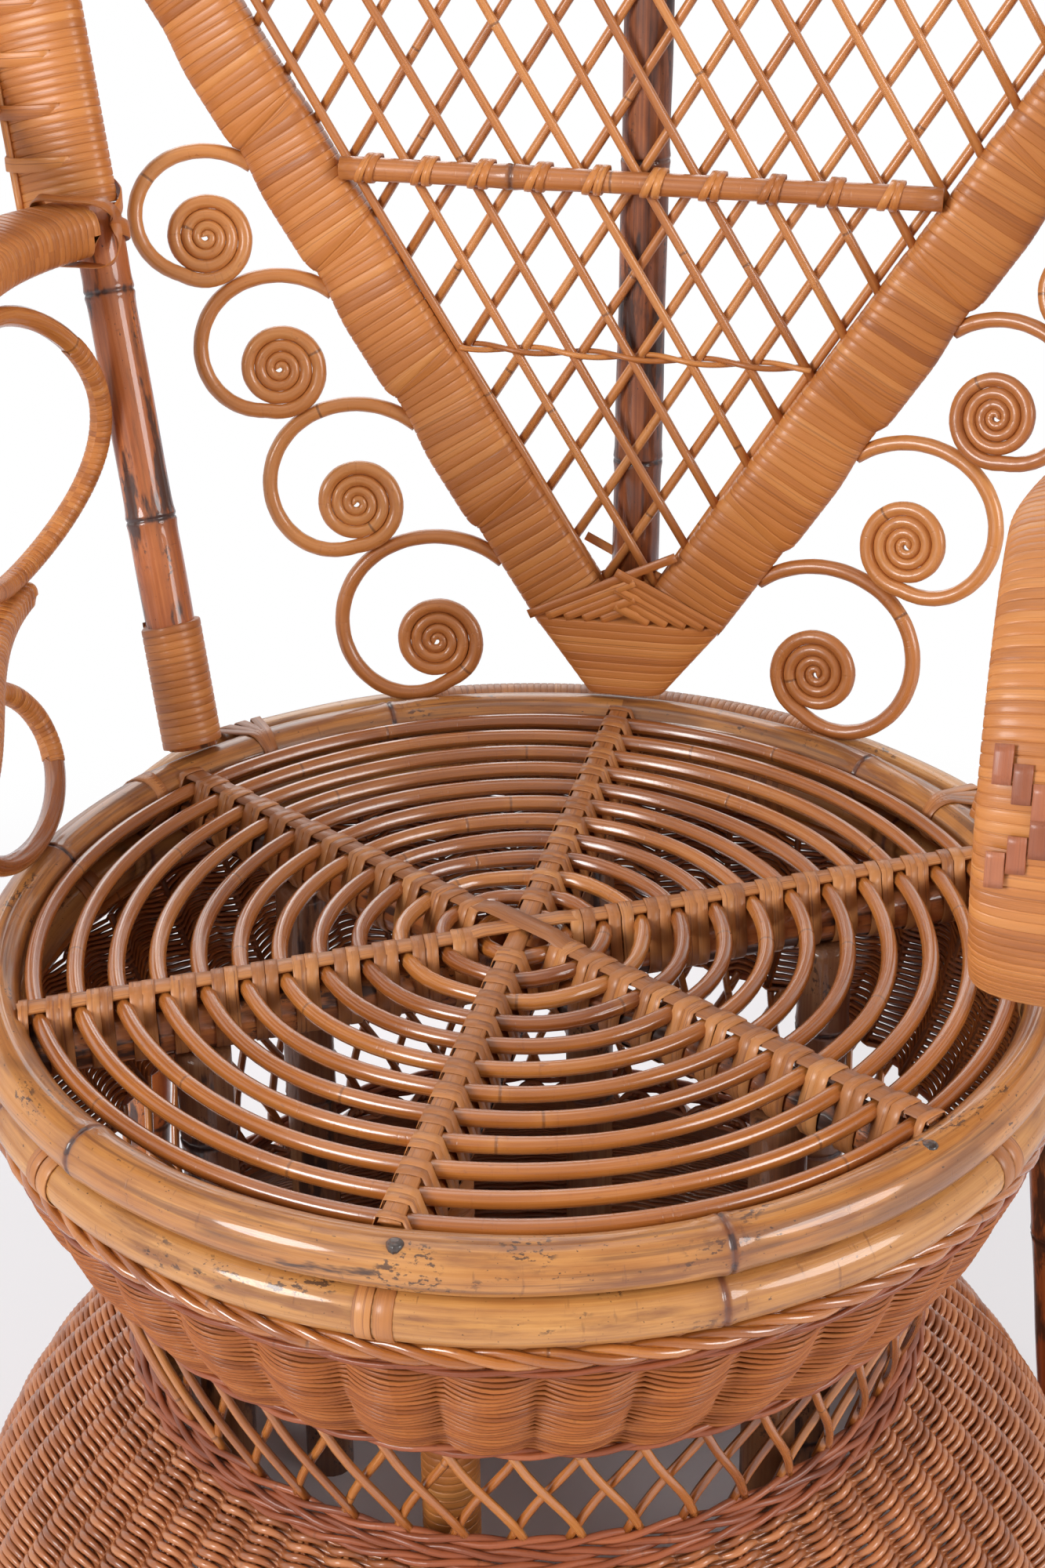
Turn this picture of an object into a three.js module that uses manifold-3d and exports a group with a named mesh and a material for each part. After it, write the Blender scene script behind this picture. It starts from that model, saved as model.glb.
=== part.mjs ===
// Wicker peacock chair: a round cane seat on an hour-glass base, hairpin arms and a tall fan back.
// Millimetres, +Z up, front towards -Y. Heights are measured from the top of the seat canes.
import * as THREE from 'three';
import { mergeVertices } from 'three/addons/utils/BufferGeometryUtils.js';
import Module from 'manifold-3d';

const CLEARANCE = 0.3; // gap left between pieces that touch

// Seat
const SEAT_HEIGHT = 400; // top of the seat canes above the floor
const RIM_RADIUS = 238.5; // centre line of the upper rim pole
const RIM_POLE = 24;
const RIM_TOP = 3; // top of the rim pole above the seat canes
const SWING_START_ANGLE = 95; // azimuth where the rear ledge starts to swing out of the lower pole
const SWING_END_ANGLE = 130; // azimuth where it lies beside the upper one
const BACK_DROP_ANGLE = 15; // how far below level the ledge lies at the back, degrees
const LEDGE_POLE = 23;
const RING_COUNT = 12;
const RING_CANE = 8;
const RING_RIM_GAP = 1.5; // between the outermost seat cane and the rim
const HUB_RING_RADIUS = 18.6;
const SPOKE_POLE = 24;
const SPOKE_ANGLE = 60;
const STRIP_WIDTH = 10;
const STRIP_THICKNESS = 2;
const STRIP_PLATEAU = 16; // half length of the raised crossing of a strip at the hub
const STRIP_RAMP = 18;
const STRIP_LAP = 3; // how far a strip's end reaches over the rim

// Base
const POST_CIRCLE = 150;
const POST_DIAMETER = 26;
const LEG_DIAMETER = 26;
const LEG_SEATING = 0.75; // share of its half width at which a leg's head meets the ledge
const LEG_STANDOFF = 5.6; // between a rear leg's foot and the skirt
const BOWL_BRAID = 10;
const WAIST_BRAID = 8;
const SKIRT_BRAID_HEIGHT = 20;
const SKIRT_BRAID_WIDTH = 8;
const WEAVE_WALL = 6;
const BOWL_HEIGHT = 70;
const BOWL_FOOT_RADIUS = 208; // the bowl's lower edge, outside
const BOWL_SWELL = 4; // how far the bowl swells out past a straight cone
const BOWL_LOBES = 36;
const BOWL_LOBE = 8; // how far a lobe stands out from the creases beside it
const WAIST_HEIGHT = 55;
const WAIST_RADIUS = 188; // the narrowest ring, outside
const WAIST_CANE = 4.5;
const WAIST_PAIRS = 24;
const WAIST_ROWS = 3; // crossings along one waist cane
const SKIRT_RADIUS = 287; // at the floor, outside
const SKIRT_SWELL = 29; // how far the skirt swells out past a straight cone
const SKIRT_STAKES = 60;
const SKIRT_RIB = 4; // how far the weave stands out over a stake
const HOOP_WIDTH = 24;
const HOOP_HEIGHT = 22;

// Back
const BACK_LEAN = 5;
const BACK_SETBACK = 7.5; // back plane behind the rim's centre line
const FOOT_HEIGHT = 42; // up to the shoulders that carry the two arms of the V
const FOOT_BASE_HALF = 18.4;
const FOOT_SHOULDER_HALF = 52;
const FOOT_THICKNESS = 24;
const V_ANGLE = 33.4; // each arm of the V from upright
const V_WIDTH = 43;
const V_THICKNESS = 20;
const V_LENGTH = 424;
const FAN_HALF_WIDTH = 385; // inner hoop, centre line
const FAN_WIDEST = 687; // height of its widest place in the back plane
const FAN_TOP = 957;
const FAN_EASE_LOW = 0.55; // how long the frame keeps its slant above the V, as a share of its rise
const FAN_EASE_HIGH = 0.35; // how long it runs upright below the widest place
const LATTICE_CANE = 5;
const LATTICE_ANGLE = 32;
const LATTICE_SPACING = 87;
const LATTICE_EDGE = 4;
const RAIL_HEIGHT = 270;
const RAIL_DIAMETER = 14;
const CENTRE_POLE = 25;

// Scrolls beside the V, counted from the top
const SCROLL_COUNT = 4;
const SCROLL_CANE = 6.6;
const SCROLL_TAPER = 1.06; // cane diameter lost in each turn of the coil
const SCROLL_GAP = 0.7; // between turns
const SCROLL_TURNS = 3.6;
const COIL_RADIUS = 22.3;
const LOOP_RADIUS = 43; // of the top scroll
const LOOP_GROWTH = 4.3; // from one scroll to the next below
const LOOP_STANDOFF = 17.5; // coil centre beyond the loop radius, from the axis of the V
const SCROLL_SPACE = 6; // between one scroll's coil and the loop below
const LOOP_HOLD = 77; // degrees that the loop keeps its radius, top scroll
const LOOP_HOLD_GROWTH = 3; // from one scroll to the next below
const LOOP_CLOSE = 207; // degrees where the loop has become the coil, top scroll
const LOOP_CLOSE_GROWTH = 17;
const LOOP_EASE = 0.7; // below one, the loop keeps its width for longer
const SCROLL_TOP = 251; // top scroll's centre along the arm of the V
const SCROLL_TURN_TOP = 25; // forward turn of the top scroll about the arm of the V, degrees
const SCROLL_TURN_FOOT = 12;

// Arms and side poles
const SIDE_POLE = 25;
const SIDE_POLE_AZIMUTH = 123.9;
const SIDE_POLE_SETOUT = 7.1; // its foot beyond the rim's centre line
const SIDE_POLE_OUT = 101; // sideways run of the pole from foot to top
const SIDE_POLE_TOP = 440;
const WING_SINK = 1; // the two poles of a wing are wrapped tight and share this much
const ARM_OVERHANG = 23.5; // an arm's ends outside the rim's centre line
const ARM_BOW = 40; // how strongly an arm bows out between its ends
const ARM_BOW_SKEW = 4.4; // how much of the bow lies towards the rear
const ARM_TOP = 256; // centre of the top rail
const ARM_LOW = 88; // centre of the lower rail
const ARM_FRONT = -197;
const ARM_LOW_REAR = 112;
const ARM_THICKNESS = 26;
const ARM_WIDTH_FRONT = 104;
const ARM_WIDTH_REAR = 34;
const ARM_TAIL_WIDTH = 14; // the lower rail thins out towards the rear
const ARM_TAIL_THICKNESS = 13;
const LOOP_CANE = 10.5;
const OVAL_LENGTH = 150; // upper oval, along the arm
const OVAL_INSET = 20; // from the arm's centre line towards the seat
const OVAL_BELLY = 8; // further in at half its height
const OVAL_POLE_GAP = 1.5; // between the upper oval's rear and the side pole
const RIM_OVAL_LENGTH = 125; // lower oval, between rim and arm
const RIM_OVAL_CENTRE = 15;

// Outer hoop of the fan
const OUTER_HOOP = 26;
const OUTER_HALF_WIDTH = 512;
const OUTER_WIDEST = 700;
const OUTER_TOP = 1075;
const OUTER_FORWARD = 45; // the hoop's sides stand forward of the back plane
const OUTER_FOOT_AT = 110; // where the hoop stands on the arm, along Y
const OUTER_SWEEP = 0.42; // sideways sweep above the arm, as a share of the hoop's rise
const OUTER_SWEEP_RISE = 0.2;
const OUTER_EASE = 0.5; // how long it runs upright below its widest place
const LACE_CANE = 5;
const LACE_CELLS = 20; // along the whole fan
const LACE_ROWS = 2;

const radians = THREE.MathUtils.degToRad;
const lerp = THREE.MathUtils.lerp;
const smoothstep = THREE.MathUtils.smoothstep;
const point = (x, y, z) => new THREE.Vector3(x, y, z);
const UP = point(0, 0, 1);
const ACROSS = point(1, 0, 0);
const FORWARD = point(0, -1, 0);

const wasm = await Module();
wasm.setup();

const FINISHES = {
  cane: [0xc47f42, 0.42],
  wrap: [0xcb8a45, 0.45],
  bamboo: [0xb88848, 0.38],
  darkBamboo: [0x5b3a22, 0.45],
  dyed: [0xaa5a45, 0.6],
  weave: [0xb9793f, 0.6],
};

function piece(name, geometry, finish) {
  const [color, roughness] = FINISHES[finish];
  const mesh = new THREE.Mesh(geometry, new THREE.MeshStandardMaterial({ color, roughness, metalness: 0 }));
  mesh.name = name;
  return mesh;
}

// Geometry helpers

// A round or oval section with one corner straight up.
function ovalSection(halfWidth, halfHeight, sides) {
  return Array.from({ length: sides }, (_, i) => {
    const turn = Math.PI / 2 + (i / sides) * Math.PI * 2;
    return new THREE.Vector2(halfWidth * Math.cos(turn), halfHeight * Math.sin(turn));
  });
}

// A flat band with bevelled edges.
function bandSection(width, thickness) {
  const [w, t] = [width / 2, thickness / 2];
  const [bevelW, bevelT] = [t * 0.7, t * 0.6];
  const corner = [[w, t - bevelT], [w - bevelW, t]];
  const quarter = [...corner, [-corner[1][0], corner[1][1]], [-corner[0][0], corner[0][1]]];
  return [...quarter, ...quarter.map(([x, y]) => [-x, -y])].map(([x, y]) => new THREE.Vector2(x, y));
}

function rectangleSection(width, height) {
  const [w, h] = [width / 2, height / 2];
  return [[w, h], [-w, h], [-w, -h], [w, -h]].map(([x, y]) => new THREE.Vector2(x, y));
}

// Skins a list of outlines with equal point counts, with flat ends unless it closes on itself.
function loft(outlines, closed = false) {
  const sides = outlines[0].length;
  const index = [];
  const spans = closed ? outlines.length : outlines.length - 1;
  for (let i = 0; i < spans; i++) {
    const here = i * sides;
    const next = ((i + 1) % outlines.length) * sides;
    for (let j = 0; j < sides; j++) {
      const k = (j + 1) % sides;
      index.push(here + j, here + k, next + j, here + k, next + k, next + j);
    }
  }
  if (!closed) {
    const last = (outlines.length - 1) * sides;
    for (let j = 1; j < sides - 1; j++) {
      index.push(0, j + 1, j, last, last + j, last + j + 1);
    }
  }
  const geometry = new THREE.BufferGeometry();
  const corners = outlines.flat().flatMap((p) => [p.x, p.y, p.z]);
  geometry.setAttribute('position', new THREE.Float32BufferAttribute(corners, 3));
  geometry.setIndex(index);
  geometry.computeVertexNormals();
  return geometry;
}

function tangentAt(path, i, closed) {
  const last = path.length - 1;
  const before = closed ? path.at(i - 1) : path[Math.max(i - 1, 0)];
  const after = closed ? path[(i + 1) % path.length] : path[Math.min(i + 1, last)];
  return after.clone().sub(before).normalize();
}

// Sweeps a section along a path; the section's second axis follows the given direction.
function sweep(path, secondAxis, sectionAt, closed = false) {
  const outlines = path.map((centre, i) => {
    const tangent = tangentAt(path, i, closed);
    const side = secondAxis.clone().cross(tangent).normalize();
    const rise = tangent.clone().cross(side);
    const section = typeof sectionAt === 'function' ? sectionAt(i) : sectionAt;
    return section.map((p) => centre.clone().addScaledVector(side, p.x).addScaledVector(rise, p.y));
  });
  return loft(outlines, closed);
}

// A pole with level ends, however it leans.
function leaningPole(bottom, top, diameter, sides = 8) {
  const outline = ovalSection(diameter / 2, diameter / 2, sides);
  return loft([bottom, top].map((end) => outline.map((p) => point(end.x + p.x, end.y + p.y, end.z))));
}

function circlePath(radius, height, steps) {
  return Array.from({ length: steps }, (_, i) => {
    const turn = (i / steps) * Math.PI * 2;
    return point(radius * Math.sin(turn), -radius * Math.cos(turn), height);
  });
}

function ovalPath(x, centreY, centreZ, halfLength, halfHeight, steps) {
  return Array.from({ length: steps }, (_, i) => {
    const turn = -Math.PI / 2 + (i / steps) * Math.PI * 2;
    return point(x, centreY + halfLength * Math.cos(turn), centreZ + halfHeight * Math.sin(turn));
  });
}

// A wall of revolution from its closed profile of [radius, height], outer side first and upwards.
function revolve(profile, steps) {
  const outline = [...profile, profile[0]].map(([r, z]) => new THREE.Vector2(r, z));
  return new THREE.LatheGeometry(outline, steps).rotateX(Math.PI / 2);
}

// A woven wall that stands out and in by turns, so that its stakes or lobes show as ribs.
// Each row gives the wall's radius, its height and the rise of a rib there.
function ribbedWall(rows, ribs, wall) {
  const columns = 2 * ribs;
  const outlines = Array.from({ length: columns }, (_, i) => {
    const azimuth = (i / columns) * 360;
    const crest = i % 2 ? -0.5 : 0.5;
    const outside = rows.map(([r, z, rib]) => atAzimuth(azimuth, r + crest * rib, z));
    const inside = rows.map(([r, z]) => atAzimuth(azimuth, r - wall, z));
    return [...inside, ...outside.reverse()];
  });
  return loft(outlines, true);
}

// A net of canes that cross in knots. Each row of knots lies half a cell on from the row below it.
// The surface takes a place along the net, in cells, and a share of its height.
function net({ surface, facing, cells, rows, cane, closed, cellWidth, height }) {
  const rowRise = height / rows;
  const lean = Math.atan2(cellWidth / 2, rowRise);
  const halfAlong = cane / (2 * Math.cos(lean)) / cellWidth;
  const halfUp = cane / (2 * Math.sin(lean)) / height;
  const front = [];
  const back = [];
  const corner = (cell, share) => {
    const centre = surface(cell, share);
    const out = facing(cell).clone().multiplyScalar(cane / 2);
    front.push(centre.clone().add(out));
    back.push(centre.clone().sub(out));
    return front.length - 1;
  };
  const knots = Array.from({ length: rows + 1 }, (_, row) => {
    const odd = row % 2;
    const count = closed || odd ? cells : cells + 1;
    const share = lerp(halfUp, 1 - halfUp, row / rows);
    return Array.from({ length: count }, (_, i) => {
      const cell = i + odd / 2;
      return { right: corner(cell + halfAlong, share), up: corner(cell, share + halfUp),
        left: corner(cell - halfAlong, share), down: corner(cell, share - halfUp) };
    });
  });
  const faces = [];
  knots.forEach((line, row) => line.forEach((p, i) => {
    faces.push([p.right, p.up, p.left, p.down]);
    if (row === rows) return;
    const odd = row % 2;
    const next = knots[row + 1];
    const at = (k) => (closed ? next[(k + next.length) % next.length] : next[k]);
    const toRight = at(i + odd);
    const toLeft = at(i + odd - 1);
    if (toRight) faces.push([p.right, toRight.down, toRight.left, p.up]);
    if (toLeft) faces.push([p.up, toLeft.right, toLeft.down, p.left]);
  }));
  return thickened(faces, front, back);
}

// Closes a sheet of four-sided faces with its back and with walls along its open edges.
function thickened(faces, front, back) {
  const behind = front.length;
  const edges = new Map();
  const index = [];
  for (const face of faces) {
    const [a, b, c, d] = face;
    index.push(a, b, c, a, c, d, behind + a, behind + c, behind + b, behind + a, behind + d, behind + c);
    face.forEach((from, k) => edges.set(`${from} ${face[(k + 1) % 4]}`, [from, face[(k + 1) % 4]]));
  }
  for (const [from, to] of edges.values()) {
    if (edges.has(`${to} ${from}`)) continue;
    index.push(from, behind + from, behind + to, from, behind + to, to);
  }
  const geometry = new THREE.BufferGeometry();
  const corners = [...front, ...back].flatMap((p) => [p.x, p.y, p.z]);
  geometry.setAttribute('position', new THREE.Float32BufferAttribute(corners, 3));
  geometry.setIndex(index);
  geometry.computeVertexNormals();
  return geometry;
}

const atAzimuth = (degrees, radius, height) =>
  point(radius * Math.sin(radians(degrees)), -radius * Math.cos(radians(degrees)), height);

const mirrored = (p) => point(-p.x, p.y, p.z);

function toSolid(geometry) {
  const bare = geometry.clone();
  bare.deleteAttribute('normal');
  bare.deleteAttribute('uv');
  const merged = mergeVertices(bare);
  const vertProperties = new Float32Array(merged.attributes.position.array);
  const triVerts = new Uint32Array(merged.index.array);
  return new wasm.Manifold(new wasm.Mesh({ numProp: 3, vertProperties, triVerts }));
}

function toGeometry(solid) {
  const mesh = solid.getMesh();
  const geometry = new THREE.BufferGeometry();
  geometry.setAttribute('position', new THREE.Float32BufferAttribute(mesh.vertProperties, 3));
  geometry.setIndex(Array.from(mesh.triVerts));
  geometry.computeVertexNormals();
  return geometry;
}

const fuse = (geometries) => geometries.map(toSolid).reduce((whole, part) => whole.add(part));

// Seat: two rim poles, spokes, concentric canes and the strips that tie them down

const RIM_STEPS = 36;
const RIM_SIDES = 6;
const rimZ = RIM_TOP - RIM_POLE / 2;
const rimPairing = RIM_POLE + 2 * CLEARANCE;

// Centre line of the ledge at the back; in front of its start it is that of the lower pole.
function ledgeCentre(azimuth) {
  const swing = smoothstep(Math.abs(azimuth), SWING_START_ANGLE, SWING_END_ANGLE);
  const below = radians(lerp(90, BACK_DROP_ANGLE, swing));
  return [RIM_RADIUS + rimPairing * Math.cos(below), rimZ - rimPairing * Math.sin(below)];
}

function ledgePath() {
  const step = 360 / RIM_STEPS;
  const first = Math.ceil(SWING_START_ANGLE / step) * step;
  const count = Math.round((360 - 2 * first) / step) + 1;
  return Array.from({ length: count }, (_, i) => {
    const turned = first + i * step;
    return atAzimuth(turned, ...ledgeCentre(Math.min(turned, 360 - turned)));
  });
}

const ringZ = -RING_CANE / 2;
const outerRing = RIM_RADIUS - RIM_POLE / 2 - RING_RIM_GAP - RING_CANE / 2;
const spokeZ = -RING_CANE - CLEARANCE - SPOKE_POLE / 2;
const rimFlat = RIM_RADIUS - (RIM_POLE / 2) * Math.cos(Math.PI / RIM_SIDES);
const rimInside = rimFlat * Math.cos(Math.PI / RIM_STEPS);
const spokeEnd = rimInside - CLEARANCE;
const spokeHub = SPOKE_POLE / 2 / Math.tan(radians(SPOKE_ANGLE / 2)) + 2 * CLEARANCE;
const SPOKES = { front_right: SPOKE_ANGLE, back_right: 180 - SPOKE_ANGLE, back_left: SPOKE_ANGLE - 180,
  front_left: -SPOKE_ANGLE };

function makeSeat() {
  const seat = new THREE.Group();
  const rimSection = ovalSection(RIM_POLE / 2, RIM_POLE / 2, RIM_SIDES);
  const upperRim = sweep(circlePath(RIM_RADIUS, rimZ, RIM_STEPS), UP, rimSection, true);
  seat.add(piece('seat_rim_upper', upperRim, 'bamboo'));
  const lowerRing = sweep(circlePath(RIM_RADIUS, rimZ - rimPairing, RIM_STEPS), UP, rimSection, true);
  const ledge = sweep(ledgePath(), UP, ovalSection(LEDGE_POLE / 2, LEDGE_POLE / 2, RIM_SIDES));
  seat.add(piece('seat_rim_lower', toGeometry(fuse([lowerRing, ledge])), 'bamboo'));

  const spokeSection = ovalSection(SPOKE_POLE / 2, SPOKE_POLE / 2, 8);
  const spoke = (from, to) => sweep([from, to], UP, spokeSection);
  const through = spoke(atAzimuth(0, spokeEnd, spokeZ), atAzimuth(180, spokeEnd, spokeZ));
  seat.add(piece('spoke_front_back', through, 'wrap'));
  for (const [side, azimuth] of Object.entries(SPOKES)) {
    const half = spoke(atAzimuth(azimuth, spokeHub, spokeZ), atAzimuth(azimuth, spokeEnd, spokeZ));
    seat.add(piece(`spoke_${side}`, half, 'wrap'));
  }

  const ringSection = ovalSection(RING_CANE / 2, RING_CANE / 2, 6);
  const ringPitch = (outerRing - HUB_RING_RADIUS) / (RING_COUNT - 1);
  for (let i = 0; i < RING_COUNT; i++) {
    const radius = outerRing - i * ringPitch;
    const steps = 6 * Math.max(2, Math.round((4 * radius) / outerRing));
    const cane = sweep(circlePath(radius, ringZ, steps), UP, ringSection, true);
    seat.add(piece(`seat_cane_${String(i + 1).padStart(2, '0')}`, cane, 'cane'));
  }

  const stripEnd = RIM_RADIUS - RIM_POLE / 2 + STRIP_LAP;
  const stripZ = CLEARANCE + STRIP_THICKNESS / 2;
  const stripSection = rectangleSection(STRIP_WIDTH, STRIP_THICKNESS);
  const strips = { front_back: 0, left_right: -SPOKE_ANGLE, corner: SPOKE_ANGLE };
  Object.entries(strips).forEach(([name, azimuth], layer) => {
    const raised = stripZ + layer * (STRIP_THICKNESS + CLEARANCE);
    const path = [[-stripEnd, stripZ], [-STRIP_PLATEAU - STRIP_RAMP, stripZ], [-STRIP_PLATEAU, raised],
      [STRIP_PLATEAU, raised], [STRIP_PLATEAU + STRIP_RAMP, stripZ], [stripEnd, stripZ]];
    const strip = sweep(path.map(([r, z]) => atAzimuth(azimuth, r, z)), UP, stripSection);
    seat.add(piece(`seat_strip_${name}`, strip, 'wrap'));
  });
  return seat;
}

// Base: posts, rear legs, woven bowl, open waist and flared skirt

const BASE_STEPS = 36;
const floorZ = -SEAT_HEIGHT;
const bowlBraidZ = rimZ - rimPairing - RIM_POLE / 2 - CLEARANCE - BOWL_BRAID / 2;
const bowlTop = bowlBraidZ - BOWL_BRAID / 2 - CLEARANCE;
const bowlFoot = bowlTop - BOWL_HEIGHT;
const waistBraidZ = bowlFoot - CLEARANCE - WAIST_BRAID / 2;
const waistTop = waistBraidZ - WAIST_BRAID / 2 - CLEARANCE;
const waistFoot = waistTop - WAIST_HEIGHT;
const skirtBraidZ = waistFoot - CLEARANCE - SKIRT_BRAID_HEIGHT / 2;
const skirtTop = skirtBraidZ - SKIRT_BRAID_HEIGHT / 2 - CLEARANCE;

function skirtRadius(share) {
  return lerp(WAIST_RADIUS, SKIRT_RADIUS, share) + SKIRT_SWELL * Math.sin(Math.PI * share);
}

function makeBase() {
  const base = new THREE.Group();
  const postTop = spokeZ - SPOKE_POLE / 2 - CLEARANCE;
  const posts = { front: 0, back: 180, ...SPOKES };
  for (const [side, azimuth] of Object.entries(posts)) {
    const [foot, head] = [floorZ, postTop].map((z) => atAzimuth(azimuth, POST_CIRCLE, z));
    const post = leaningPole(foot, head, POST_DIAMETER);
    base.add(piece(`post_${side}`, post, 'wrap'));
  }

  for (const side of ['left', 'right']) {
    const azimuth = (side === 'left' ? -1 : 1) * (180 - SPOKE_ANGLE);
    const [ledgeR] = ledgeCentre(azimuth);
    const beside = RIM_RADIUS + (RIM_POLE + LEG_DIAMETER) / 2 + 2 * CLEARANCE;
    const seatingAngle = THREE.MathUtils.radToDeg((LEG_SEATING * LEG_DIAMETER) / 2 / RIM_RADIUS);
    const [, lowestLedgeZ] = ledgeCentre(Math.abs(azimuth) - seatingAngle);
    const legTop = lowestLedgeZ - LEDGE_POLE / 2 - CLEARANCE;
    const legFoot = atAzimuth(azimuth, SKIRT_RADIUS + LEG_STANDOFF + LEG_DIAMETER / 2, floorZ);
    const leg = leaningPole(legFoot, atAzimuth(azimuth, Math.max(ledgeR, beside), legTop), LEG_DIAMETER);
    base.add(piece(`rear_leg_${side}`, leg, 'bamboo'));
  }

  const braid = (name, radius, z, width, height, finish) => {
    const ring = sweep(circlePath(radius, z, BASE_STEPS), UP, ovalSection(width / 2, height / 2, 4), true);
    base.add(piece(name, ring, finish));
  };
  braid('bowl_top_braid', RIM_RADIUS, bowlBraidZ, BOWL_BRAID, BOWL_BRAID, 'cane');
  const bowlFootR = BOWL_FOOT_RADIUS - WAIST_BRAID / 2;
  const skirtTopR = WAIST_RADIUS - SKIRT_BRAID_WIDTH / 2;
  braid('bowl_foot_braid', bowlFootR, waistBraidZ, WAIST_BRAID, WAIST_BRAID, 'dyed');
  braid('skirt_top_braid', skirtTopR, skirtBraidZ, SKIRT_BRAID_WIDTH, SKIRT_BRAID_HEIGHT, 'dyed');

  const bowlRim = RIM_RADIUS + WEAVE_WALL / 2;
  const bowlMiddle = (BOWL_FOOT_RADIUS + bowlRim) / 2 + BOWL_SWELL;
  const bowl = [[BOWL_FOOT_RADIUS, bowlFoot, BOWL_LOBE / 2], [bowlMiddle, (bowlFoot + bowlTop) / 2, BOWL_LOBE],
    [bowlRim, bowlTop, 0]];
  base.add(piece('bowl_weave', ribbedWall(bowl, BOWL_LOBES, WEAVE_WALL), 'weave'));

  base.add(piece('waist_lattice', makeWaist(), 'cane'));

  const hoopTop = floorZ + HOOP_HEIGHT;
  const hoopShare = (skirtTop - hoopTop) / (skirtTop - floorZ);
  const rows = [1, hoopShare, 0.55, 0.25, 0];
  const skirt = rows.map((share) => [skirtRadius(share), lerp(skirtTop, floorZ, share), SKIRT_RIB]);
  base.add(piece('skirt_weave', ribbedWall(skirt, SKIRT_STAKES, WEAVE_WALL), 'weave'));

  const hoopFoot = SKIRT_RADIUS - WEAVE_WALL - CLEARANCE;
  const hoopHead = skirtRadius(hoopShare) - WEAVE_WALL - CLEARANCE;
  const hoop = [[hoopFoot, floorZ], [hoopHead, hoopTop], [hoopHead - HOOP_WIDTH, hoopTop],
    [hoopFoot - HOOP_WIDTH, floorZ]];
  base.add(piece('base_hoop', revolve(hoop, BASE_STEPS), 'bamboo'));
  return base;
}

// Open net of canes that lean both ways round the waist and cross each other.
function makeWaist() {
  const upperR = BOWL_FOOT_RADIUS - WAIST_BRAID / 2;
  const lowerR = WAIST_RADIUS - SKIRT_BRAID_WIDTH / 2;
  return net({
    surface: (cell, share) =>
      atAzimuth((cell / WAIST_PAIRS) * 360, lerp(lowerR, upperR, share), lerp(waistFoot, waistTop, share)),
    facing: (cell) => atAzimuth((cell / WAIST_PAIRS) * 360, 1, 0),
    cells: WAIST_PAIRS, rows: WAIST_ROWS, cane: WAIST_CANE, closed: true,
    cellWidth: (Math.PI * (upperR + lowerR)) / WAIST_PAIRS,
    height: Math.hypot(WAIST_HEIGHT, upperR - lowerR),
  });
}

// Back: foot, V frame with hoop, lattice, rail, pole and scrolls, drawn upright in the plane of the back

const vTilt = radians(V_ANGLE);
const vHalf = V_WIDTH / 2;
const vAlong = point(Math.sin(vTilt), 0, Math.cos(vTilt));
const vOutward = point(Math.cos(vTilt), 0, -Math.sin(vTilt));
const vStart = point(FOOT_SHOULDER_HALF, 0, FOOT_HEIGHT)
  .addScaledVector(vOutward, -vHalf)
  .addScaledVector(vAlong, CLEARANCE);
const vEnd = vStart.clone().addScaledVector(vAlong, V_LENGTH);

// Right half of the frame's centre line, from the foot to the middle of the arch.
function frameHalf() {
  const widest = point(FAN_HALF_WIDTH, 0, FAN_WIDEST);
  const rise = FAN_WIDEST - vEnd.z;
  const leaving = vEnd.clone().addScaledVector(vAlong, rise * FAN_EASE_LOW);
  const arriving = widest.clone().addScaledVector(UP, -rise * FAN_EASE_HIGH);
  const flare = new THREE.CubicBezierCurve3(vEnd, leaving, arriving, widest);
  const archSteps = 8;
  const arch = Array.from({ length: archSteps }, (_, i) => {
    const turn = ((i + 1) / archSteps) * (Math.PI / 2);
    const rise = (FAN_TOP - FAN_WIDEST) * Math.sin(turn);
    return point(FAN_HALF_WIDTH * Math.cos(turn), 0, FAN_WIDEST + rise);
  });
  arch.at(-1).x = 0;
  return [vStart, ...flare.getPoints(6), ...arch];
}

// The whole centre line, from the left foot over the arch to the right foot.
function framePath() {
  const half = frameHalf();
  return [...half.map(mirrored), ...half.slice(0, -1).reverse()];
}

function insideOutline(distance) {
  const path = framePath();
  return path.map((centre, i) => {
    const tangent = tangentAt(path, i, false);
    const inward = point(tangent.z, 0, -tangent.x);
    const edge = centre.clone().addScaledVector(inward, distance);
    return new THREE.Vector2(edge.x, edge.z);
  });
}

// A flat plate in the back plane, centred on it.
function plate(outline, thickness) {
  const shape = new THREE.Shape(outline);
  const flat = new THREE.ExtrudeGeometry(shape, { depth: thickness, bevelEnabled: false });
  return flat.rotateX(Math.PI / 2).translate(0, thickness / 2, 0);
}

function makeLattice() {
  const field = toSolid(plate(insideOutline(vHalf + CLEARANCE), LATTICE_CANE));
  const open = toSolid(plate(insideOutline(vHalf + CLEARANCE + LATTICE_EDGE), 2 * LATTICE_CANE));
  const section = rectangleSection(LATTICE_CANE, LATTICE_CANE);
  const lean = Math.tan(radians(LATTICE_ANGLE));
  const reach = FAN_TOP * lean;
  const count = Math.ceil((FAN_HALF_WIDTH + reach) / LATTICE_SPACING);
  const canes = [];
  for (let i = -count; i <= count; i++) {
    const x = (i + 0.5) * LATTICE_SPACING;
    canes.push(sweep([point(x, 0, 0), point(x + reach, 0, FAN_TOP)], FORWARD, section));
    canes.push(sweep([point(-x, 0, 0), point(-x - reach, 0, FAN_TOP)], FORWARD, section));
  }
  const edge = field.subtract(open);
  return toGeometry(fuse(canes).intersect(field).add(edge));
}

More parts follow.
